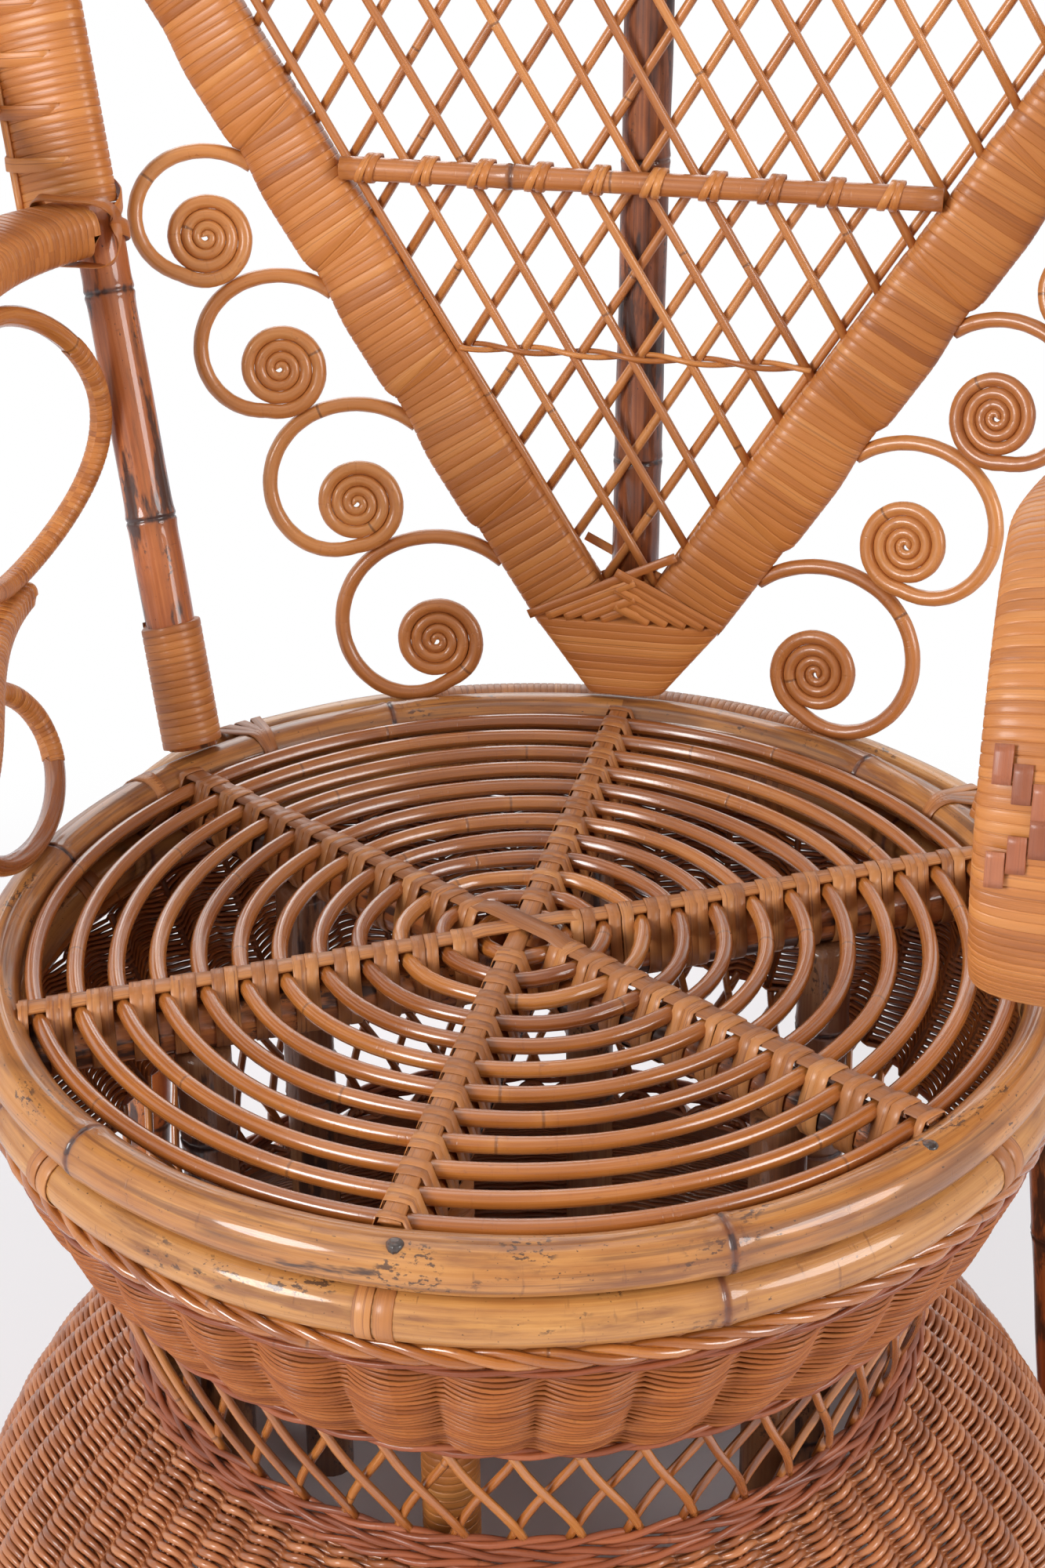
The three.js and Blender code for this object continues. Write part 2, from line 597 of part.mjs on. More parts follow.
// Centre line and radius of one scroll, in its own plane: [along the V, outward from its axis, radius].
function scrollLine(order, seat) {
  const loop = LOOP_RADIUS + order * LOOP_GROWTH;
  let along = SCROLL_TOP;
  for (let i = 1; i <= order; i++) {
    along -= LOOP_RADIUS + i * LOOP_GROWTH + COIL_RADIUS + SCROLL_SPACE;
  }
  const outward = loop + LOOP_STANDOFF;
  const blendFrom = LOOP_HOLD + order * LOOP_HOLD_GROWTH;
  const blendTo = LOOP_CLOSE + order * LOOP_CLOSE_GROWTH;
  const begin = THREE.MathUtils.radToDeg(Math.acos((outward - seat - SCROLL_CANE) / loop));
  const loopSteps = 12;
  const coilStep = 45;
  const angles = Array.from({ length: loopSteps }, (_, i) => lerp(begin, blendTo, i / loopSteps));
  for (let turned = 0; turned <= SCROLL_TURNS * 360; turned += coilStep) {
    angles.push(blendTo + turned);
  }
  const line = angles.map((degrees) => {
    const turns = Math.max(0, (degrees - blendTo) / 360);
    const fall = THREE.MathUtils.clamp((degrees - blendFrom) / (blendTo - blendFrom), 0, 1);
    const share = (0.5 + 0.5 * Math.cos(Math.PI * fall)) ** LOOP_EASE;
    const coil = COIL_RADIUS - (SCROLL_CANE + SCROLL_GAP) * turns + (SCROLL_TAPER * turns ** 2) / 2;
    const r = lerp(coil, loop, share);
    const turn = radians(degrees);
    const radius = (SCROLL_CANE - SCROLL_TAPER * turns) / 2;
    return [along + r * Math.sin(turn), outward - r * Math.cos(turn), radius];
  });
  return [[line[0][0], seat, SCROLL_CANE / 2], ...line];
}

// Least gap of a scroll to itself, between points half a turn or more apart.
function scrollGap(line) {
  const apart = 4;
  let least = Infinity;
  line.forEach(([u, v, radius], i) => {
    for (const [u2, v2, radius2] of line.slice(i + apart)) {
      least = Math.min(least, Math.hypot(u - u2, v - v2) - radius - radius2);
    }
  });
  return least;
}

function makeScroll(order, side) {
  const turn = radians(lerp(SCROLL_TURN_TOP, SCROLL_TURN_FOOT, order / (SCROLL_COUNT - 1)));
  const seat = vHalf + CLEARANCE + (SCROLL_CANE / 2) * Math.sin(turn);
  const line = scrollLine(order, seat);
  const outward = vOutward.clone().multiplyScalar(Math.cos(turn)).addScaledVector(FORWARD, Math.sin(turn));
  const hinge = vStart.clone().addScaledVector(vOutward, seat);
  const place = (p) => (side === 'left' ? mirrored(p) : p);
  const path = line.map(([u, v]) => {
    const p = hinge.clone().addScaledVector(vAlong, u);
    return place(p.addScaledVector(outward, v - seat));
  });
  const facing = place(vAlong.clone().cross(outward));
  if (side === 'left') {
    console.log(`scroll ${order + 1}: least gap to itself ${scrollGap(line).toFixed(2)} mm`);
  }
  return sweep(path, facing, (i) => ovalSection(line[i][2], line[i][2], 5));
}

function makeBack() {
  const back = new THREE.Group();
  back.position.set(0, RIM_RADIUS + BACK_SETBACK, RIM_TOP);
  back.rotation.x = -radians(BACK_LEAN);

  const shoulder = point(FOOT_SHOULDER_HALF, 0, FOOT_HEIGHT);
  const crotch = shoulder.clone().addScaledVector(vOutward, -V_WIDTH);
  const right = [[FOOT_BASE_HALF, 2 * CLEARANCE], [shoulder.x, shoulder.z], [crotch.x, crotch.z]];
  const left = right.map(([x, z]) => [-x, z]).reverse();
  const footOutline = [...right, ...left].map(([x, z]) => new THREE.Vector2(x, z));
  back.add(piece('back_foot', plate(footOutline, FOOT_THICKNESS), 'wrap'));

  back.add(piece('back_frame', sweep(framePath(), FORWARD, bandSection(V_WIDTH, V_THICKNESS)), 'wrap'));
  back.add(piece('back_lattice', makeLattice(), 'cane'));

  const vAxisAtRail = vStart.x + (RAIL_HEIGHT - vStart.z) * Math.tan(vTilt);
  const railHalf = vAxisAtRail - vHalf / Math.cos(vTilt) - RAIL_DIAMETER / 3;
  const railY = -(LATTICE_CANE / 2 + CLEARANCE + RAIL_DIAMETER / 2);
  const railSection = ovalSection(RAIL_DIAMETER / 2, RAIL_DIAMETER / 2, 8);
  const railEnds = [-railHalf, railHalf].map((x) => point(x, railY, RAIL_HEIGHT));
  const rail = sweep(railEnds, UP, railSection);
  back.add(piece('lattice_rail', rail, 'wrap'));

  const poleY = LATTICE_CANE / 2 + CLEARANCE + CENTRE_POLE / 2;
  const poleFoot = point(0, poleY, crotch.z + CLEARANCE);
  const poleHead = point(0, poleY, FAN_TOP - vHalf - CLEARANCE);
  back.add(piece('centre_pole', leaningPole(poleFoot, poleHead, CENTRE_POLE), 'darkBamboo'));

  for (const side of ['left', 'right']) {
    for (let order = 0; order < SCROLL_COUNT; order++) {
      back.add(piece(`scroll_${side}_${order + 1}`, makeScroll(order, side), 'cane'));
    }
  }
  return back;
}

// Sides: leaning poles with their wrapped wing, hairpin arms and the ovals that carry them

const backPlaneY = (z) => RIM_RADIUS + BACK_SETBACK + (z - RIM_TOP) * Math.tan(radians(BACK_LEAN));

// The right pole stands on the rim and leans back until its top rests against the back's frame.
function sidePoleAt(z) {
  const foot = atAzimuth(SIDE_POLE_AZIMUTH, RIM_RADIUS + SIDE_POLE_SETOUT, RIM_TOP);
  const headY = backPlaneY(SIDE_POLE_TOP) - (V_THICKNESS + SIDE_POLE) / 2 - CLEARANCE;
  const share = (z - RIM_TOP) / (SIDE_POLE_TOP - RIM_TOP);
  return point(foot.x + SIDE_POLE_OUT * share, lerp(foot.y, headY, share), z);
}

const wingBeside = SIDE_POLE - WING_SINK;
const armTopFace = ARM_TOP + ARM_THICKNESS / 2;
const armRear = sidePoleAt(ARM_TOP - ARM_THICKNESS / 2).y - SIDE_POLE / 2 - 2 * CLEARANCE;

const armBend = (ARM_TOP - ARM_LOW) / 2;
const armBendY = ARM_FRONT + armBend;
const armShare = (y) => THREE.MathUtils.clamp((y - armBendY) / (armRear - armBendY), 0, 1);
const armWidthAt = (y) => lerp(ARM_WIDTH_FRONT, ARM_WIDTH_REAR, armShare(y));

// Centre line of the right arm seen from above: it leaves the pole outwards and comes back in at the front.
function armXAt(y) {
  const share = armShare(y);
  return RIM_RADIUS + ARM_OVERHANG + ARM_BOW * share * (1 - share) * (1 + ARM_BOW_SKEW * share);
}

// The lower rail thins towards its rear end, with its upper face level, and draws in under the oval.
const tailShare = (y) => THREE.MathUtils.clamp((y - armBendY) / (ARM_LOW_REAR - armBendY), 0, 1);
const tailThickness = (y) => lerp(ARM_THICKNESS, ARM_TAIL_THICKNESS, tailShare(y));
const lowFace = ARM_LOW + ARM_THICKNESS / 2;

// Right arm as stations, from the rear of the top rail round the front to the rear of the lower rail.
function armStations() {
  const bendZ = (ARM_TOP + ARM_LOW) / 2;
  const railSteps = 6;
  const bendSteps = 12;
  const along = (from, to, station) =>
    Array.from({ length: railSteps }, (_, i) => station(lerp(from, to, i / railSteps)));
  const top = along(armRear, armBendY, (y) =>
    ({ centre: point(armXAt(y), y, ARM_TOP), width: armWidthAt(y), thickness: ARM_THICKNESS }));
  const round = Array.from({ length: bendSteps + 1 }, (_, i) => {
    const turn = Math.PI / 2 + (i / bendSteps) * Math.PI;
    const y = armBendY + armBend * Math.cos(turn);
    const centre = point(armXAt(y), y, bendZ + armBend * Math.sin(turn));
    return { centre, width: ARM_WIDTH_FRONT, thickness: ARM_THICKNESS };
  });
  const low = along(ARM_LOW_REAR, armBendY, (y) => {
    const thickness = tailThickness(y);
    const centre = point(armXAt(y) - OVAL_INSET * tailShare(y), y, lowFace - thickness / 2);
    return { centre, width: lerp(ARM_WIDTH_FRONT, ARM_TAIL_WIDTH, tailShare(y)), thickness };
  });
  return [...top, ...round, ...low.reverse()];
}

// The arm's band keeps its width across the chair, so its second axis stays in the upright plane.
function makeArm(place) {
  const stations = armStations();
  const path = stations.map(({ centre }) => centre);
  const outlines = stations.map(({ centre, width, thickness }, i) => {
    const rise = tangentAt(path, i, false).cross(ACROSS).normalize();
    const section = bandSection(width, thickness);
    return section.map((p) => centre.clone().addScaledVector(ACROSS, p.x).addScaledVector(rise, p.y));
  });
  return loft(outlines.map((outline) => place(outline)));
}

function makeSides() {
  const sides = new THREE.Group();
  for (const side of ['left', 'right']) {
    const sign = side === 'left' ? -1 : 1;
    const put = (p) => (side === 'left' ? mirrored(p) : p);
    const footEnd = put(sidePoleAt(RIM_TOP + CLEARANCE));
    const pole = leaningPole(footEnd, put(sidePoleAt(SIDE_POLE_TOP)), SIDE_POLE);
    const wingEnds = [armTopFace + CLEARANCE, SIDE_POLE_TOP].map((z) => {
      const beside = sidePoleAt(z);
      return put(point(beside.x + wingBeside, beside.y, z));
    });
    const wing = leaningPole(wingEnds[0], wingEnds[1], SIDE_POLE);
    sides.add(piece(`side_pole_${side}`, toGeometry(fuse([pole, wing])), 'bamboo'));

    const mirrorOutline = (outline) => (side === 'left' ? outline.map(mirrored).reverse() : outline);
    sides.add(piece(`arm_${side}`, makeArm(mirrorOutline), 'wrap'));

    const upright = ovalSection(LOOP_CANE / 2, LOOP_CANE / 2, 6);
    const loopSection = upright.map((p) => new THREE.Vector2(p.y, -p.x));
    const loop = (centreY, length, low, high, xAt) => {
      const halfHeight = (high - low - LOOP_CANE) / 2 - CLEARANCE;
      const flat = ovalPath(0, centreY, (low + high) / 2, (length - LOOP_CANE) / 2, halfHeight, 20);
      const path = flat.map((p) => point(sign * xAt(p), p.y, p.z));
      return sweep(path, ACROSS, loopSection, true);
    };
    const underArm = (y) => armXAt(y) - OVAL_INSET;
    const armGap = [lowFace, ARM_TOP - ARM_THICKNESS / 2];
    const bellied = (p) => {
      const height = THREE.MathUtils.inverseLerp(...armGap, p.z);
      return underArm(p.y) - OVAL_BELLY * (1 - (2 * height - 1) ** 2);
    };
    const ovalRear = sidePoleAt((ARM_LOW + ARM_TOP) / 2).y - SIDE_POLE / 2 - OVAL_POLE_GAP;
    const armOval = loop(ovalRear - OVAL_LENGTH / 2, OVAL_LENGTH, ...armGap, bellied);
    sides.add(piece(`arm_oval_${side}`, armOval, 'cane'));
    const rimGap = [RIM_TOP, lowFace - tailThickness(RIM_OVAL_CENTRE)];
    const leaning = (p) => lerp(RIM_RADIUS, underArm(p.y), THREE.MathUtils.inverseLerp(...rimGap, p.z));
    const rimOval = loop(RIM_OVAL_CENTRE, RIM_OVAL_LENGTH, ...rimGap, leaning);
    sides.add(piece(`rim_oval_${side}`, rimOval, 'cane'));
  }
  return sides;
}

// Fan: outer hoop that rises from the arms, and the open lacework inside it

// Right half of the outer hoop's centre line, from the top of the arm to the middle of the arch.
function outerHalf() {
  const footZ = armTopFace + CLEARANCE;
  const footX = armXAt(OUTER_FOOT_AT);
  const start = point(footX, OUTER_FOOT_AT, footZ);
  const upright = point(footX, OUTER_FOOT_AT, footZ + OUTER_HOOP);
  const widest = point(OUTER_HALF_WIDTH, backPlaneY(OUTER_WIDEST) - OUTER_FORWARD, OUTER_WIDEST);
  const rise = OUTER_WIDEST - upright.z;
  const away = upright.clone().lerp(widest, OUTER_SWEEP_RISE);
  away.x = upright.x + rise * OUTER_SWEEP;
  const arriving = point(widest.x, widest.y, widest.z - rise * OUTER_EASE);
  const flare = new THREE.CubicBezierCurve3(upright, away, arriving, widest);
  const archSteps = 10;
  const arch = Array.from({ length: archSteps }, (_, i) => {
    const turn = ((i + 1) / archSteps) * (Math.PI / 2);
    const z = OUTER_WIDEST + (OUTER_TOP - OUTER_WIDEST) * Math.sin(turn);
    return point(OUTER_HALF_WIDTH * Math.cos(turn), backPlaneY(z) - OUTER_FORWARD * Math.cos(turn), z);
  });
  arch.at(-1).x = 0;
  return [start, ...flare.getPoints(9), ...arch];
}

function joinHalves(half) {
  return [...half.map(mirrored), ...half.slice(0, -1).reverse()];
}

// Inner edge of the lacework: up the outside of the wing, then along the outside of the inner hoop.
function laceInner() {
  const beyondWing = wingBeside + SIDE_POLE / 2 + 2 * CLEARANCE;
  const wing = [armTopFace + SIDE_POLE, SIDE_POLE_TOP].map((z) => {
    const p = sidePoleAt(z);
    return point(p.x + beyondWing, p.y, z);
  });
  const half = frameHalf();
  const beyondHoop = vHalf + 2 * CLEARANCE;
  const lean = radians(BACK_LEAN);
  const hoop = half.map((centre, i) => {
    const tangent = i === half.length - 1 ? point(-1, 0, 0) : tangentAt(half, i, false);
    const edge = centre.clone().addScaledVector(point(tangent.z, 0, -tangent.x), beyondHoop);
    const upright = edge.applyAxisAngle(ACROSS, -lean);
    return upright.add(point(0, RIM_RADIUS + BACK_SETBACK, RIM_TOP));
  });
  hoop.at(-1).x = 0;
  const clearOfWing = hoop.filter((p) => p.z > SIDE_POLE_TOP + V_WIDTH);
  return joinHalves([...wing, ...clearOfWing]);
}

function laceOuter() {
  const half = outerHalf().slice(2);
  const inset = OUTER_HOOP / 2 + 2 * CLEARANCE;
  const inner = half.map((centre, i) => {
    const tangent = i === half.length - 1 ? point(-1, 0, 0) : tangentAt(half, i, false);
    const inward = point(-tangent.z, 0, tangent.x).normalize();
    return centre.clone().addScaledVector(inward, inset);
  });
  inner.at(-1).x = 0;
  return joinHalves(inner);
}

// A line of straight spans, measured along its length.
function spans(points) {
  const line = new THREE.CurvePath();
  points.slice(1).forEach((to, i) => line.add(new THREE.LineCurve3(points[i], to)));
  return line;
}

function makeLace() {
  const inner = spans(laceInner());
  const outer = spans(laceOuter());
  const share = (cell) => THREE.MathUtils.clamp(cell / LACE_CELLS, 0, 1);
  return net({
    surface: (cell, rise) => inner.getPoint(share(cell)).lerp(outer.getPoint(share(cell)), rise),
    facing: () => FORWARD,
    cells: LACE_CELLS, rows: LACE_ROWS, cane: LACE_CANE, closed: false,
    cellWidth: (inner.getLength() + outer.getLength()) / 2 / LACE_CELLS,
    height: OUTER_HALF_WIDTH - FAN_HALF_WIDTH,
  });
}

function makeFan() {
  const fan = new THREE.Group();
  const hoopSection = ovalSection(OUTER_HOOP / 2, OUTER_HOOP / 2, 8);
  fan.add(piece('outer_hoop', sweep(joinHalves(outerHalf()), FORWARD, hoopSection), 'wrap'));
  fan.add(piece('fan_lacework', makeLace(), 'cane'));
  return fan;
}

// The chair stands on the floor, with its origin under the middle of its box.
const chair = new THREE.Group();
chair.add(makeSeat(), makeBase(), makeBack(), makeSides(), makeFan());
const middle = new THREE.Box3().setFromObject(chair).getCenter(new THREE.Vector3());
chair.position.set(0, -middle.y, SEAT_HEIGHT);
chair.updateMatrixWorld(true);

export default chair;
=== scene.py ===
# %% [markdown]
# # A cane and bamboo peacock chair
# The chair is a round seat of bent bamboo and cane on an hour-glass base of woven strands, with a wrapped
# fan back and two hairpin arms. Everything on it is a strand of some kind: a pole, a cane, a flat strip
# wound round a core, or a thin weaver. So nearly every piece here is swept from a line, and the work lies
# in drawing the right lines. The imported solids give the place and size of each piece.

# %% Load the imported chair
import math
import bpy
import numpy as np
from mathutils import Matrix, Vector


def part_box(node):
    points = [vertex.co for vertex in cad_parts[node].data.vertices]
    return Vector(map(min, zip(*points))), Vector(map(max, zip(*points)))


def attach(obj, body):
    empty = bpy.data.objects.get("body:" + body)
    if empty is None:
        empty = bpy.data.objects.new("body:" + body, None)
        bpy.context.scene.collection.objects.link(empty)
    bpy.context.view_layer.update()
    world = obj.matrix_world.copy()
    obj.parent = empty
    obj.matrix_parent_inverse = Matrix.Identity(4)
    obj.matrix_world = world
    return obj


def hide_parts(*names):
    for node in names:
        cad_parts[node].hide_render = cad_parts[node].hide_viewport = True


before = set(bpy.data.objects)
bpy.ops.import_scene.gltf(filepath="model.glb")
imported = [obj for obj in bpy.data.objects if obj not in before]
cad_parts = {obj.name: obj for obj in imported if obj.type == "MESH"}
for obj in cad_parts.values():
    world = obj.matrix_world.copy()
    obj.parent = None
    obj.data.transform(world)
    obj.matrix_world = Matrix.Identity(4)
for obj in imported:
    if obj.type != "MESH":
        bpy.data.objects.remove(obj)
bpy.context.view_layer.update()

print("packed nodes:", len(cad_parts))

# %% [markdown]
# Sizes are written in millimetres from the middle of the seat, because that is how a maker measures a
# chair: heights are counted from the top of the seat canes. Azimuth is the angle round the seat: 0 at the
# front, 90 at the right of the picture. Each mesh moves to metres in the shared frame when it is made.

# %% The seat's own measure
MM = 0.001
SEAT_HEIGHT = 400.0
UP = np.array([0.0, 0.0, 1.0])
FORWARD = np.array([0.0, -1.0, 0.0])
ACROSS = np.array([1.0, 0.0, 0.0])
MIRROR = {"left": np.array([-1, 1, 1]), "right": np.array([1, 1, 1])}
rim_low, rim_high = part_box("seat_rim_upper")
SEAT_AXIS = np.array([0.0, (rim_low[1] + rim_high[1]) / 2 / MM, SEAT_HEIGHT])
luck = np.random.default_rng(7)


def columns(*parts):
    return np.stack(np.broadcast_arrays(*parts), axis=-1)


def at_azimuth(azimuth, radius, z):
    turn = np.radians(azimuth)
    return columns(radius * np.sin(turn), -radius * np.cos(turn), z)


def unit(vectors):
    return vectors / np.maximum(np.linalg.norm(vectors, axis=-1, keepdims=True), 1e-9)


def eased(value, low, high):
    share = np.clip((value - low) / (high - low), 0, 1)
    return share * share * (3 - 2 * share)


def wave(degrees):
    return np.sin(np.radians(degrees))


def azimuths(count):
    return np.linspace(0, 360, count, endpoint=False)


def full_circle(count):
    return np.linspace(0, 2 * np.pi, count, endpoint=False)


print("seat axis at y", round(SEAT_AXIS[1], 2), "mm")

# %% [markdown]
# Shader maths reads best as plain expressions. This small class wraps one output socket of a material, so
# that adding or multiplying values adds the Math nodes for it. Its method `node` adds any other node.

# %% Values of a finish
class Shade:
    """One value in a finish; maths on it adds Math nodes."""

    def __init__(self, tree, socket=None):
        self.tree = tree
        self.socket = socket

    def node(self, kind, settings=None, sockets=None, output=0):
        made = self.tree.nodes.new(kind)
        for name, value in (settings or {}).items():
            if name == "stops":
                ramp = made.color_ramp
                while len(ramp.elements) < len(value):
                    ramp.elements.new(1.0)
                for element, (place, colour) in zip(ramp.elements, value):
                    element.position = place
                    element.color = (*colour, 1.0)
            else:
                setattr(made, name, value)
        for name, value in (sockets or {}).items():
            if isinstance(value, Shade):
                self.tree.links.new(value.socket, made.inputs[name])
            else:
                made.inputs[name].default_value = value
        return Shade(self.tree, made.outputs[output])

    def maths(self, operation, first, second=0.0):
        return self.node("ShaderNodeMath", {"operation": operation}, {0: first, 1: second})

    def __add__(self, other):
        return self.maths("ADD", self, other)

    def __sub__(self, other):
        return self.maths("SUBTRACT", self, other)

    def __rsub__(self, other):
        return self.maths("SUBTRACT", other, self)

    def __mul__(self, other):
        return self.maths("MULTIPLY", self, other)

    def __truediv__(self, other):
        return self.maths("DIVIDE", self, other)

    __radd__ = __add__
    __rmul__ = __mul__

    def eased(self, low, high):
        return self.node("ShaderNodeMapRange", {"interpolation_type": "SMOOTHSTEP"},
                         {"Value": self, "From Min": low, "From Max": high})

    def noise(self, along, across, detail=3.0):
        stretched = self.node("ShaderNodeVectorMath", {"operation": "MULTIPLY"},
                              {0: self, 1: (along, across, across)})
        return self.node("ShaderNodeTexNoise", {},
                         {"Vector": stretched, "Scale": 1.0, "Detail": detail, "Roughness": 0.6})

    def ramp(self, *stops):
        return self.node("ShaderNodeValToRGB", {"stops": stops}, {"Fac": self})

    def mixed(self, colour, share):
        return self.node("ShaderNodeMix", {"data_type": "RGBA"},
                         {0: share, 6: self, 7: (*colour, 1.0)}, output=2)


# %% [markdown]
# Each swept piece carries three numbers on its points. `lay` is the place on the strand as if it were
# pulled straight: along, and across in two directions, in millimetres, so that grain always follows the
# strand. `tone` is one random number for each strand or turn. `mark` is 1 at a joint of the bamboo. A
# finish reads these, and so a hundred strands of one mesh still differ from each other.

# %% Start of a finish
def new_finish(name, **constants):
    material = bpy.data.materials.new(name)
    material.use_nodes = True
    tree = material.node_tree
    skin = tree.nodes["Principled BSDF"]
    for socket, value in constants.items():
        skin.inputs[socket.replace("_", " ")].default_value = value
    start = Shade(tree)
    lay = start.node("ShaderNodeAttribute", {"attribute_name": "lay"}, output=1)
    tone = start.node("ShaderNodeAttribute", {"attribute_name": "tone"}, output=2)
    mark = start.node("ShaderNodeAttribute", {"attribute_name": "mark"}, output=2)

    def feed(colour, roughness, height, depth):
        bump = start.node("ShaderNodeBump", {}, {"Strength": 0.5, "Distance": depth, "Height": height})
        for value, socket in ((colour, "Base Color"), (roughness, "Roughness"), (bump, "Normal")):
            tree.links.new(value.socket, skin.inputs[socket])
        return material

    return lay, tone, mark, feed


# %% [markdown]
# Round cane keeps its skin: a honey-brown, varnished surface with faint streaks along it, a few dark flecks,
# and a thin ring every hand's breadth where a leaf once grew. In close weaving, one number paints shade onto
# the upper and lower edge of each strand, where it meets the next row.

# %% Finish of the round canes
# Colour of the painted shade between the rows of a close weave.
GROOVE_SHADE = (0.08, 0.02, 0.006)
RING_BROWN = (0.07, 0.022, 0.012)


def round_cane_finish(name, dark, middle, light, ring_every, coat, ring_share, ior=1.5, groove_shading=0.0):
    lay, tone, mark, feed = new_finish(name, IOR=ior, Coat_Weight=coat, Coat_Roughness=0.14)
    streak = lay.noise(0.018, 0.85)
    cloud = lay.noise(0.014, 0.06, 2.0)
    fleck = lay.noise(0.2, 0.45, 2.0).eased(0.66, 0.74)
    crease = lay.noise(0.5, 0.05, 2.0).eased(0.58, 0.72)
    along = lay.node("ShaderNodeSeparateXYZ", {}, {0: lay})
    near = lay.maths("ABSOLUTE", lay.maths("FRACT", along / ring_every) - 0.5) * ring_every
    ring = 1 - near.eased(0.25, 1.0)
    halo = 1 - near.eased(0.5, 7.0)
    above = lay.node("ShaderNodeSeparateXYZ", {}, {0: lay}, output=2)
    # Painted shade: the upper and lower edge of each strand darken where the next row meets it.
    groove_shade = lay.maths("ABSOLUTE", above).eased(0.7, 1.25) * groove_shading
    body = (streak * 0.45 + cloud * 0.4 + tone * 0.3 - 0.1).ramp((0.22, dark), (0.5, middle), (0.78, light))
    worn = body.mixed(dark, fleck * 0.55 + crease * 0.2).mixed(light, halo * 0.25)
    colour = worn.mixed(GROOVE_SHADE, groove_shade).mixed(RING_BROWN, ring * ring_share + mark * 0.6)
    rough = 0.36 - 0.25 * coat + streak * 0.2 + fleck * 0.12
    return feed(colour, rough, streak * 0.5 - ring * ring_share + halo * 0.35 - crease * 0.3, 0.0004)


cane = round_cane_finish("varnished_cane", (0.22, 0.058, 0.012), (0.42, 0.135, 0.026), (0.58, 0.228, 0.052),
                         ring_every=210, coat=0.8, ring_share=0.5)
honey = round_cane_finish("honey_cane", (0.35, 0.112, 0.029), (0.54, 0.197, 0.049), (0.66, 0.29, 0.088),
                          ring_every=240, coat=0.4, ring_share=0.6)
weaver = round_cane_finish("woven_strands", (0.19, 0.046, 0.01), (0.37, 0.106, 0.021), (0.5, 0.172, 0.042),
                           ring_every=330, coat=0.1, ring_share=0.2, ior=1.35, groove_shading=0.75)
reddish = round_cane_finish("reddish_cane", (0.15, 0.036, 0.014), (0.31, 0.08, 0.028), (0.44, 0.142, 0.054),
                            ring_every=190, coat=0.2, ring_share=0.3, ior=1.4)
skirt_cane = round_cane_finish("skirt_cane", (0.24, 0.07, 0.02), (0.43, 0.142, 0.046), (0.58, 0.235, 0.092),
                               ring_every=260, coat=0.45, ring_share=0.2)
print("cane finishes:", cane.name, honey.name, weaver.name, reddish.name, skirt_cane.name)

# %% [markdown]
# Flat strips for winding are split from the cane's skin. Their grain runs along the strip, so on a wound
# bar it lies across the bar, and neighbouring turns differ a little in colour. The finish has fine fibre
# lines, thin dark lines where dust and old varnish collect, and a soft gloss.

# %% Finish of the flat strips
LINE_BROWN = (0.22, 0.07, 0.025)


def flat_strip_finish(name, dark, middle, light, lined=0.3):
    lay, tone, _, feed = new_finish(name, IOR=1.47, Coat_Weight=0.25, Coat_Roughness=0.22)
    fibre = lay.noise(0.02, 2.2, 4.0)
    cloud = lay.noise(0.03, 0.08, 2.0)
    line = lay.noise(0.008, 1.0, 2.0).eased(0.57, 0.69)
    body = (fibre * 0.35 + cloud * 0.4 + tone * 0.42 - 0.12).ramp((0.2, dark), (0.5, middle), (0.8, light))
    return feed(body.mixed(LINE_BROWN, line * lined), 0.36 + fibre * 0.2, fibre - line * 0.4, 0.0003)


strip = flat_strip_finish("flat_strip", (0.36, 0.11, 0.021), (0.55, 0.194, 0.042), (0.68, 0.288, 0.08), 0.45)
aged_strip = flat_strip_finish("aged_strip", (0.29, 0.1, 0.027), (0.49, 0.188, 0.053), (0.64, 0.29, 0.095),
                               lined=0.75)
# A lighter copy of the flat strip for the back's foot: painted light on its wound face.
lit_foot_strip = flat_strip_finish("lit_foot_strip", (0.42, 0.13, 0.026), (0.62, 0.22, 0.05), (0.75, 0.32, 0.09), 0.4)
dark_strip = flat_strip_finish("dark_strip", (0.24, 0.066, 0.026), (0.37, 0.11, 0.045), (0.48, 0.17, 0.075))
print("strip finishes:", strip.name, aged_strip.name, lit_foot_strip.name, dark_strip.name)

# %% [markdown]
# Bamboo poles are paler and yellower. Streaks run along them, dirt and bruises leave brown clouds, black
# specks, spots of mould and short scratches, and the skin darkens towards each joint, with an uneven black
# line in it. Where a pole was bent over a flame it is scorched. One number sets how much of the skin is
# burnt, one how much is stained and one how black the joints are.

